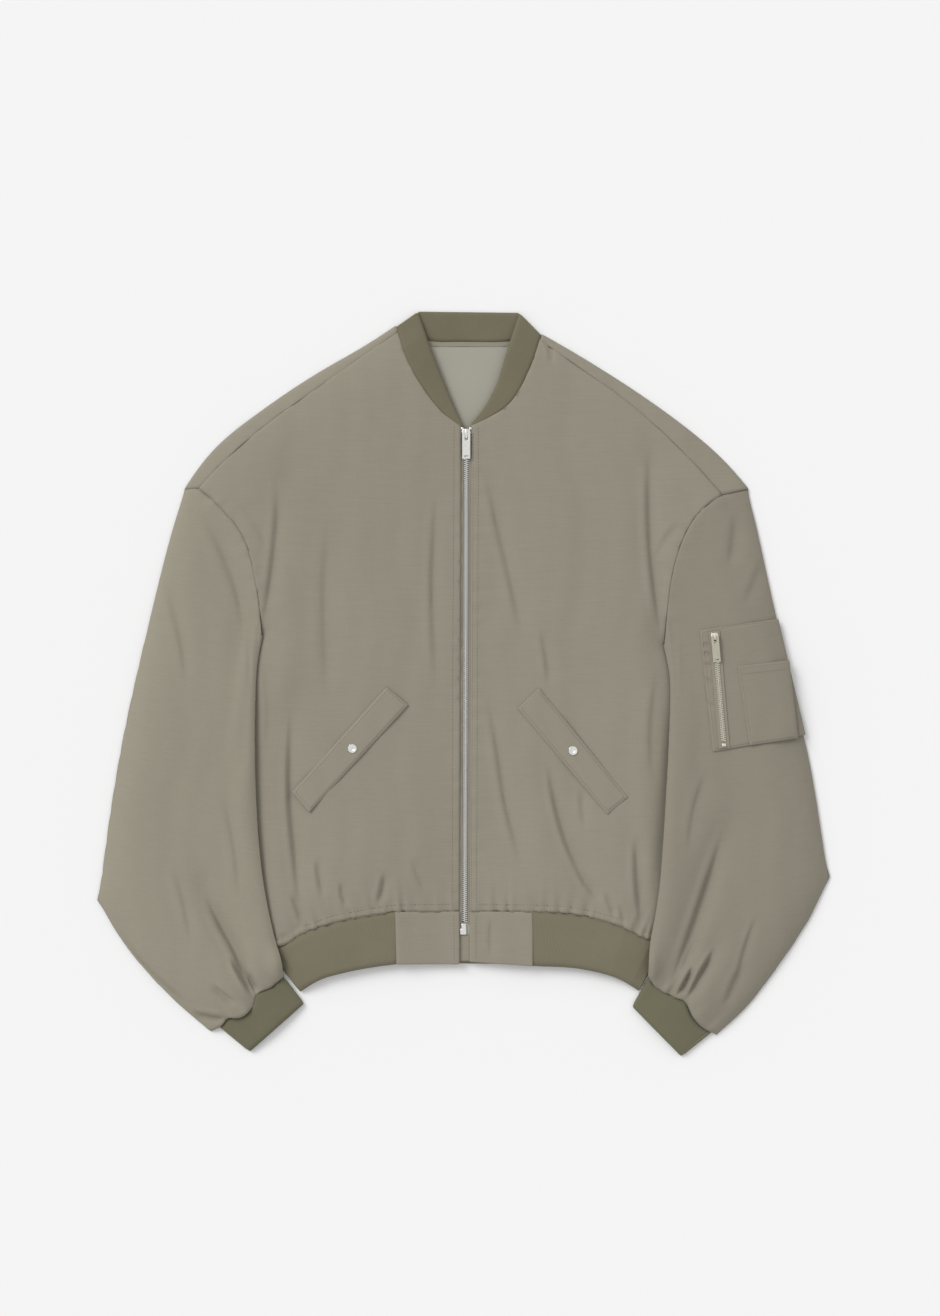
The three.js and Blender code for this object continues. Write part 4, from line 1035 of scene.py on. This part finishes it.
class JacketCollar(Making, bpy.types.Operator):
    """Knit the collar band"""

    bl_idname = "jacket.collar"
    bl_label = "Collar"

    def make(self, scene):
        knit = scene.jacket_knit
        material = knit_material("knit_collar", shown(knit.collar_colour))
        lines = [RIB_LINES[f"collar_{key}"] for key in ("right", "left", "back")]
        made = knit_shell("knit_collar", "collar", band_round(*lines, 40), 8, knit, material)
        keep(made, ["collar"])


class JacketCuffs(Making, bpy.types.Operator):
    """Knit the two cuffs"""

    bl_idname = "jacket.cuffs"
    bl_label = "Cuffs"

    def make(self, scene):
        knit = scene.jacket_knit
        material = knit_material("knit_cuff", shown(knit.cuff_colour))
        for side in SIDES:
            stations = cuff_round(RIB_LINES[f"cuff_{side}"], 40)
            made = knit_shell(f"knit_cuff_{side}", f"cuff_{side}", stations, 8, knit, material, closed=True)
            keep(made, [f"cuff_{side}"])


# Hard pieces

# Display colours and roughness of the metals.
NICKEL = ((250, 249, 245), 0.24)
SLEEVE_NICKEL = ((244, 241, 228), 0.26)
BRUSHED_NICKEL = ((206, 202, 184), 0.34)


def clear_selection(mesh):
    for part in (mesh.vertices, mesh.edges, mesh.polygons):
        part.foreach_set("select", [False] * len(part))


def edit(operator, *args, **settings):
    """Runs one edit-mode operator on the active object's selection."""
    bpy.ops.object.mode_set(mode="EDIT")
    operator(*args, **settings)
    bpy.ops.object.mode_set(mode="OBJECT")


def soften(made, width, segments=2):
    """Rounds a hard piece's edges, and shades only its round sides smooth."""
    apply_modifier(made, "BEVEL", width=width * MM, segments=segments, limit_method="ANGLE")
    bpy.ops.object.shade_smooth_by_angle(angle=math.radians(20))


def added(name, material):
    """Names the primitive that was just added, in its place, and gives it its material."""
    made = bpy.context.object
    made.name = name
    made.data.name = name
    bpy.ops.object.transform_apply(location=True, rotation=True, scale=True)
    made.data.materials.append(material)
    return made


def bar(name, low, high, material, bevel=0.2, segments=2):
    """A block between two corners in millimetres, with its edges rounded."""
    deselect()
    centre = [(a + b) / 2 * MM for a, b in zip(low, high)]
    bpy.ops.mesh.primitive_cube_add(size=1, location=centre)
    bpy.context.object.scale = [(b - a) * MM for a, b in zip(low, high)]
    made = added(name, material)
    if bevel:
        soften(made, bevel, segments)
    return made


def joined(name, things):
    """Joins objects into one."""
    pick(things)
    bpy.ops.object.join()
    things[0].name = name
    things[0].data.name = name
    return things[0]


def moved_to(made, place, turn):
    """Turns a piece that was made at the origin, lays it at its place, and applies that."""
    pick([made])
    made.location = [p * MM for p in place]
    made.rotation_euler = (0, 0, math.radians(turn))
    bpy.ops.object.transform_apply(location=True, rotation=True, scale=True)
    return made


def select_top_near(made, centre):
    """Selects the face that lies over a snap's centre and looks up."""
    clear_selection(made.data)
    best = min((f for f in made.data.polygons if f.normal.z > 0.99),
               key=lambda f: (Vector(f.center) - centre).xy.length + 1e-3 * f.area)
    best.select = True


# A snap's radius and height in millimetres, and the steps that its top is drawn in by: a share, and a drop.
SNAP_RADIUS = 4.75
SNAP_HEIGHT = 1.1
SNAP_STEPS = ((0.80, 0.0), (0.93, -0.35), (0.62, 0.0), (0.75, -0.3))
SNAP_PLACES = {"right": (-121.7, -70.6), "left": (120.1, -72.9)}


def snap(name, place, bottom, material):
    """A snap cap: a rim, a step down inside it, and a shallow hollow."""
    deselect()
    bpy.ops.mesh.primitive_cylinder_add(
        vertices=40, radius=SNAP_RADIUS * MM, depth=SNAP_HEIGHT * MM,
        location=(place[0] * MM, place[1] * MM, (bottom + SNAP_HEIGHT / 2) * MM))
    made = added(name, material)
    centre = Vector((*place, bottom + SNAP_HEIGHT)) * MM
    for size, drop in SNAP_STEPS:
        select_top_near(made, centre)
        edit(bpy.ops.mesh.extrude_region_move, TRANSFORM_OT_translate={"value": (0, 0, drop * MM)})
        edit(bpy.ops.transform.resize, value=(size, size, 1), center_override=centre)
    soften(made, 0.14)
    return made


class JacketSnaps(Making, bpy.types.Operator):
    """Make the snap on each slanted pocket"""

    bl_idname = "jacket.snaps"
    bl_label = "Snaps"

    def make(self, scene):
        metal = shared_material("metal_nickel", metal_material, *NICKEL)
        for side, place in SNAP_PLACES.items():
            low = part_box(f"snap_{side}")[0].z / MM
            made = snap(f"metal_snap_{side}", place, low + 0.1, metal)
            keep(made, [f"snap_{side}"])


class SliderSizes(NamedTuple):
    """Sizes of a slider in millimetres, its top at y = 0. Two plates at one height stand for a single one."""

    half: float
    long: float
    low: float
    high: float
    plate: float
    loop_from: float
    loop_to: float
    loop_half: float
    clear: float


class PullSizes(NamedTuple):
    """Sizes of a pull in millimetres, its pivot at the origin."""

    half: float
    long: float
    bar_half: float
    window: float
    window_half: float
    thick: float


class TeethSizes(NamedTuple):
    """A zip's teeth: how far the first is from the slider's top, their pitch, how many a side has, and the
    half width and half thickness of one, in millimetres."""

    start: float
    pitch: float
    count: int
    half: float
    thick: float

    def place(self, number, side):
        """How far a tooth is from the zip's top. The second side stands half a pitch lower."""
        return self.start + self.pitch * (number + 0.5 * side)


# The front zip's line: its top in millimetres, and how far it is turned, in degrees.
ZIP_TOP = (3.1, 280)
ZIP_TURN = -0.1875
ZIP_TEETH = TeethSizes(4.8, 2.2, 244, 2.65, 1.05)
ZIP_TEETH_LEVEL = 7.75
ZIP_SLIDER = SliderSizes(4.95, 9, 5.2, 9.2, 1.1, -10.8, -0.6, 1.0, 2.3)
ZIP_PULL = PullSizes(4.4, 28, 0.75, 6.9, 1.75, 1.5)
ZIP_PULL_LEVEL = 11.45
ZIP_PULL_DROP = 5
ZIP_STOPS = {"right": -4.6, "left": 4.6}

# The sleeve zip runs from its top to its bottom.
SLEEVE_ZIP_TOP = (274.5, 56.1)
SLEEVE_ZIP_BOTTOM = (285.1, -67.9)
SLEEVE_TEETH = TeethSizes(9.5, 2.45, 45, 2.5, 0.9)
SLEEVE_TEETH_SINK = 0.95
SLEEVE_SLIDER = SliderSizes(4.2, 7.5, 0.0, 0.0, 1.4, -6.6, -1.0, 0.9, 2.1)
SLEEVE_PULL = PullSizes(4.25, 28, 0.7, 6.4, 1.4, 1.4)
SLEEVE_PULL_DROP = 4.2


def tooth(half, thick, material):
    """One zip tooth at the origin: its clasp round the tape's cord, and its head that meets the other side."""
    clasp = bar("tooth_clasp", (-half, -0.6, -thick), (-0.35 * half, 0.6, thick), material, 0.16, 1)
    head = bar("tooth_head", (-0.45 * half, -0.45, -0.7 * thick), (0.28 * half, 0.45, 0.7 * thick), material, 0.16, 1)
    return joined("tooth", [clasp, head])


def tooth_rows(name, made, places):
    """Copies one tooth to each place, given as x, y, z in millimetres and a turn in degrees, and joins them."""
    copies = []
    for x, y, z, turn in places:
        copy = made.copy()
        copy.data = made.data.copy()
        copy.matrix_world = (Matrix.Translation(Vector((x, y, z)) * MM)
                             @ Matrix.Rotation(math.radians(turn), 4, "Z"))
        bpy.context.scene.collection.objects.link(copy)
        copies.append(copy)
    bpy.data.objects.remove(made)
    pick(copies)
    bpy.ops.object.transform_apply(location=True, rotation=True, scale=True)
    return joined(name, copies)


def zip_teeth(name, sizes, rows, material):
    """Both sides of a zip's teeth, joined into one piece."""
    return joined(name, [tooth_rows("teeth", tooth(sizes.half, sizes.thick, material), row) for row in rows])


def slider_plate(name, half, long, low, high, material):
    """One of a slider's two plates: wide at the shoulders, with a narrower tail."""
    made = bar(name, (-half, -long, low), (half, 0, high), material, 0)
    clear_selection(made.data)
    edit(bpy.ops.mesh.select_all, action="SELECT")
    edit(bpy.ops.mesh.bisect, plane_co=(0, -0.45 * long * MM, 0), plane_no=(0, 1, 0))
    for end, size in ((-long, 0.78), (0.0, 0.72)):
        for vertex in made.data.vertices:
            vertex.select = abs(vertex.co.y - end * MM) < 1e-5
        for edge in made.data.edges:
            edge.select = all(made.data.vertices[i].select for i in edge.vertices)
        for face in made.data.polygons:
            face.select = all(made.data.vertices[i].select for i in face.vertices)
        edit(bpy.ops.transform.resize, value=(size, 1, 1), center_override=(0, end * MM, 0))
    soften(made, 0.34)
    return made


def slider_body(name, sizes, material):
    """A slider at the origin, its top at y = 0: two plates, the post between them and the loop for the pull."""
    half, long, low, high, plate, loop_from, loop_to, loop_half, clear = sizes
    level = high + plate
    crown = level + clear
    parts = [
        slider_plate("slider_upper", half, long, high, level, material),
        *(bar("loop_leg", (-loop_half, y, level - 0.3), (loop_half, y + 1.3, crown + 0.9), material, 0.3)
          for y in (loop_from, loop_to - 1.3)),
        bar("loop_top", (-loop_half, loop_from, crown), (loop_half, loop_to, crown + 1.0), material, 0.35),
    ]
    if high > low:
        parts += [
            slider_plate("slider_lower", half, long, low, low + plate, material),
            bar("slider_post", (-1.2, -3.7, low + 0.2), (1.2, -0.6, high + 0.2), material, 0.2),
        ]
    return joined(name, parts)


def cut_out(made, low, high):
    """Cuts a block-shaped hole."""
    cutter = bar("cutter", low, high, made.data.materials[0], 0)
    apply_modifier(made, "BOOLEAN", object=cutter, operation="DIFFERENCE")
    bpy.data.objects.remove(cutter)


def pull_tab(name, sizes, material):
    """A pull at the origin, its pivot in the bar at its upper end, with a window below it and a slot at its foot."""
    half, long, bar_half, window, window_half, thick = sizes
    made = bar(name, (-half, -long, -thick / 2), (half, bar_half, thick / 2), material, 0)
    cut_out(made, (-window_half, -bar_half - window, -thick), (window_half, -bar_half, thick))
    cut_out(made, (-0.55 * half, -long + 2.5, -thick), (0.55 * half, -long + 3.4, thick))
    soften(made, 0.28)
    return made


def along_zip(y):
    """The place on the front zip's line that lies y above its top."""
    turn = math.radians(ZIP_TURN)
    return ZIP_TOP[0] - y * math.sin(turn), ZIP_TOP[1] + y * math.cos(turn)


def lay_on_zip(made, nodes):
    """Lays a piece that was made with the front zip's top at the origin in its place."""
    keep(moved_to(made, (*ZIP_TOP, 0), ZIP_TURN), nodes)


class JacketMainZip(Making, bpy.types.Operator):
    """Make the front zip: tapes, teeth, slider, pull, stops and box"""

    bl_idname = "jacket.main_zip"
    bl_label = "Front zip"

    def make(self, scene):
        metal = shared_material("metal_nickel", metal_material, *NICKEL)
        rows = [[(*along_zip(-ZIP_TEETH.place(i, side)), ZIP_TEETH_LEVEL, ZIP_TURN + 180 * side)
                 for i in range(ZIP_TEETH.count)] for side in (0, 1)]
        keep(zip_teeth("metal_zip_teeth", ZIP_TEETH, rows, metal), ["zip_chain"])
        lay_on_zip(slider_body("metal_zip_slider", ZIP_SLIDER, metal), ["zip_slider"])
        pull = pull_tab("metal_zip_pull", ZIP_PULL, metal)
        moved_to(pull, (*along_zip(-ZIP_PULL_DROP), ZIP_PULL_LEVEL), ZIP_TURN)
        keep(pull, ["zip_pull"], "main_pull")
        for side, x in ZIP_STOPS.items():
            stop = bar(f"metal_zip_stop_{side}", (x - 1.3, -0.9, 8.5), (x + 1.3, 1.7, 10.3), metal, 0.5)
            lay_on_zip(stop, [f"zip_stop_{side}"])
        box = joined("metal_zip_box", [
            bar("box_body", (-5.0, -554.9, 6.6), (1.8, -548.4, 9.3), metal, 0.5),
            bar("box_neck", (-3.6, -548.9, 6.8), (1.6, -543.0, 9.1), metal, 0.5),
        ])
        lay_on_zip(box, ["zip_box"])
        stiffened = lining_material("tape_end", (176, 172, 158))
        lay_on_zip(bar("tape_zip_end", (-7.5, -556.0, 5.9), (7.5, -541.5, 6.7), stiffened), [])
        tape = shared_material("zip_tape", woven_material, shown(scene.jacket_cloth.colour), 90)
        for node in ("zip_tape_right", "zip_tape_left", "sleeve_zip_tape"):
            for slot in bpy.data.objects[node].material_slots:
                slot.material = tape


class JacketSleeveZip(Making, bpy.types.Operator):
    """Make the sleeve pocket's zip: teeth, slider, pull and end stop"""

    bl_idname = "jacket.sleeve_zip"
    bl_label = "Sleeve zip"

    def make(self, scene):
        metal = shared_material("metal_sleeve_zip", metal_material, *SLEEVE_NICKEL)
        brushed = shared_material("metal_sleeve_pull", metal_material, *BRUSHED_NICKEL)
        top, bottom = np.array(SLEEVE_ZIP_TOP), np.array(SLEEVE_ZIP_BOTTOM)
        length = float(np.linalg.norm(bottom - top))
        down = (bottom - top) / length
        turn = math.degrees(math.atan2(down[0], -down[1]))
        chain = CastAbove(["sleeve_zip_chain"])
        rows = ([], [])
        for i in range(SLEEVE_TEETH.count):
            for side, row in enumerate(rows):
                place = top + down * SLEEVE_TEETH.place(i, side)
                level = chain.top(*place)
                if level is not None:
                    row.append((*place, level - SLEEVE_TEETH_SINK, turn + 180 * side))
        keep(zip_teeth("metal_sleeve_zip_teeth", SLEEVE_TEETH, rows, metal), ["sleeve_zip_chain"])
        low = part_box("sleeve_zip_slider")[0].z / MM
        slider = slider_body("metal_sleeve_zip_slider", SLEEVE_SLIDER, metal)
        keep(moved_to(slider, (*top, low), turn), ["sleeve_zip_slider"])
        level = sum(corner.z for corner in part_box("sleeve_zip_pull")) / 2 / MM
        pull = moved_to(pull_tab("metal_sleeve_zip_pull", SLEEVE_PULL, brushed),
                        (*(top + down * SLEEVE_PULL_DROP), level), turn)
        keep(pull, ["sleeve_zip_pull"], "sleeve_pull")
        low, high = (corner.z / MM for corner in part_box("sleeve_zip_stop"))
        stop = bar("metal_sleeve_zip_stop", (-2.3, -length - 0.2, low), (2.3, -length + 3.0, high), metal, 0.5)
        keep(moved_to(stop, (*top, 0), turn), ["sleeve_zip_stop"])


# Stitching

# Rows of stitches, in millimetres: the pieces that carry the row, the stitch's length, and points of the row.
STITCH_ROWS = [
    (["cloth_front_left"], 3.0, [(8.4, -248), (9.6, 0), (10.6, 276)]),
    (["cloth_front_left"], 3.0, [(14.2, -248), (15.4, 0), (16.4, 282)]),
    (["cloth_front_right"], 3.0, [(-12.4, -248), (-11.9, 0), (-10.2, 284)]),
    (["cloth_front_right"], 3.0, [(-14, -241.5), (-74, -242), (-103, -246), (-144, -254), (-174, -265)]),
    (["cloth_front_left"], 3.0, [(16, -241.5), (75, -242), (112, -243.5), (142, -249), (170, -257)]),
    (["cloth_welt_right"], 2.6, [(-83.5, -6.5), (-64.5, -22.5), (-167.5, -136.2), (-184, -118.5), (-83.5, -6.5)]),
    (["cloth_welt_left"], 2.6, [(82, -7.5), (63.5, -26.2), (157.5, -138.6), (176, -123.6), (82, -7.5)]),
    (["cloth_sleeve_pocket"], 2.6, [(262, 56.5), (299.6, 64.5), (343, 68.5)]),
    (["cloth_sleeve_pocket"], 2.6, [(261.5, 55), (275.5, -71), (370, -54)]),
    (["cloth_pen_pocket"], 2.6, [(302.6, 17.6), (355, 23.4)]),
    (["cloth_pen_pocket"], 2.6, [(304, 10.8), (356.5, 16.6)]),
    (["cloth_pen_pocket"], 2.6, [(302.8, 17.5), (315, -64.3), (364, -57)]),
    (["cloth_hem_tab_right"], 3.0, [(-10.5, -253), (-10.2, -303)]),
    (["cloth_hem_tab_left"], 3.0, [(14, -253), (13.6, -301)]),
    # The row along the neck is dark thread laid as painted shade: a line of shade along the neck seam.
    (["lining_back", "tape_neck"], 2.0, [(-46, 370.6), (58, 370.6)]),
]
# From stitch to stitch as a share of a stitch's length, its width and height, how far it is lifted off the
# cloth, and how dark the thread is beside the cloth.
STITCH_SPACING = 1.22
STITCH_SIZE = (0.5, 0.42)
STITCH_LIFT = 0.05
THREAD_TONE = 0.84


def stitch_shape():
    """Points and faces of one stitch of length 1 along x, thick in the middle and sunk at both ends."""
    points, faces = [], []
    rings = [(-0.5, 0.25), (-0.3, 0.9), (0.0, 1.0), (0.3, 0.9), (0.5, 0.25)]
    sides = 6
    for x, size in rings:
        for k in range(sides):
            turn = math.tau * k / sides
            points.append((x, 0.5 * size * math.cos(turn), 0.5 * size * math.sin(turn) - (1 - size) * 0.5))
    for i in range(len(rings) - 1):
        for k in range(sides):
            n = (k + 1) % sides
            faces.append((i * sides + k, i * sides + n, (i + 1) * sides + n, (i + 1) * sides + k))
    faces.append(tuple(range(sides))[::-1])
    faces.append(tuple(range((len(rings) - 1) * sides, len(rings) * sides)))
    return np.array(points), faces


class JacketStitches(Making, bpy.types.Operator):
    """Sew the visible rows of stitches"""

    bl_idname = "jacket.stitches"
    bl_label = "Stitching"

    def make(self, scene):
        shape, shape_faces = stitch_shape()
        points, faces = [], []
        for names, length, line in STITCH_ROWS:
            carrier = CastAbove(names)
            row = corner_line(line, length * STITCH_SPACING)
            for start, end in zip(row[:-1], row[1:]):
                heights = [carrier.top(*start), carrier.top(*end)]
                if None in heights:
                    continue
                way = np.array([*(end - start), heights[1] - heights[0]])
                way /= np.linalg.norm(way)
                side = np.cross((0, 0, 1), way)
                side /= np.linalg.norm(side)
                up = np.cross(way, side)
                centre = np.array([*(start + end) / 2, sum(heights) / 2 + STITCH_LIFT])
                base = len(points)
                size = np.array([length, *STITCH_SIZE])
                points += (centre + (shape * size) @ np.stack([way, side, up])).tolist()
                faces += [tuple(base + k for k in face) for face in shape_faces]
        mesh = bpy.data.meshes.new("thread_stitches")
        mesh.from_pydata((np.array(points) * MM).tolist(), [], faces)
        made = bpy.data.objects.new("thread_stitches", mesh)
        scene.collection.objects.link(made)
        thread = tuple(c * THREAD_TONE for c in shown(scene.jacket_cloth.colour))
        finish_cloth(made, shared_material("thread", woven_material, thread, 0))
        keep(made, [])


def corner_line(points, step):
    """Points at even steps along straight stretches, with the corners kept."""
    rows = []
    for start, end in zip(points[:-1], points[1:]):
        start, end = np.array(start, float), np.array(end, float)
        count = max(1, round(np.linalg.norm(end - start) / step))
        rows += [start + (end - start) * k / count for k in range(count)]
    return [*rows, np.array(points[-1], float)]


# In metres: how far the floor is under the jacket, where the light stands, and where the camera is in plan.
FLOOR_DROP = 0.0002
KEY_PLACE = (-2.0, 1.8, 2.1)
CAMERA_PLACE = (0.00715, 0.0286)


class JacketStage(Making, bpy.types.Operator):
    """Set up the floor, the light and the camera"""

    bl_idname = "jacket.stage"
    bl_label = "Stage"

    def make(self, scene):
        sizes = scene.jacket_stage
        bpy.ops.object.select_all(action="DESELECT")
        bpy.ops.mesh.primitive_plane_add(size=sizes.floor_size, location=(0, 0, -FLOOR_DROP))
        floor = bpy.context.object
        floor.name = "floor_sheet"
        floor.data.materials.append(floor_material("floor_paper", (244, 244, 244)))
        bpy.ops.object.light_add(type="SUN", location=KEY_PLACE)
        key = bpy.context.object
        key.data.energy = sizes.key_power
        key.data.angle = math.radians(sizes.key_softness)
        key.rotation_euler = (-key.location).to_track_quat("-Z", "Y").to_euler()
        world = bpy.data.worlds.new("studio")
        world.use_nodes = True
        background = world.node_tree.nodes["Background"].inputs
        background["Color"].default_value = (1, 1, 1, 1)
        background["Strength"].default_value = sizes.world
        scene.world = world
        bpy.ops.object.camera_add(location=(*CAMERA_PLACE, sizes.camera_height), rotation=(0, 0, 0))
        camera = bpy.context.object
        camera.data.lens = 85
        camera.data.sensor_width = 36
        scene.camera = camera
        scene.view_settings.view_transform = "Standard"


PIECES = [
    JacketFronts, JacketSleeves, JacketBack, JacketLining, JacketHemTabs, JacketWelts, JacketSleevePocket,
    JacketHemRib, JacketCollar, JacketCuffs, JacketSnaps, JacketMainZip, JacketSleeveZip, JacketStitches,
    JacketStage,
]


class JacketPanel(bpy.types.Panel):
    """Lists the jacket's settings and the pieces that can be made"""

    bl_idname = "JACKET_PT_pieces"
    bl_label = "Bomber jacket"
    bl_space_type = "VIEW_3D"
    bl_region_type = "UI"
    bl_category = "Jacket"

    def draw(self, context):
        for group in GROUPS:
            settings = getattr(context.scene, group)
            for key in settings.bl_rna.properties.keys():
                if key not in ("rna_type", "name"):
                    self.layout.prop(settings, key)
        for piece in PIECES:
            self.layout.operator(piece.bl_idname)


GROUPS = {"jacket_cloth": ClothSizes, "jacket_knit": KnitSizes, "jacket_stage": StageSizes}


def register():
    for cls in [*GROUPS.values(), *PIECES, JacketPanel]:
        bpy.utils.register_class(cls)
    for name, group in GROUPS.items():
        setattr(bpy.types.Scene, name, bpy.props.PointerProperty(type=group))


def unregister():
    for name in GROUPS:
        delattr(bpy.types.Scene, name)
    for cls in [JacketPanel, *PIECES[::-1], *GROUPS.values()]:
        bpy.utils.unregister_class(cls)


def main():
    register()
    for piece in PIECES:
        area, name = piece.bl_idname.split(".")
        getattr(getattr(bpy.ops, area), name)()


if __name__ == "__main__":
    main()
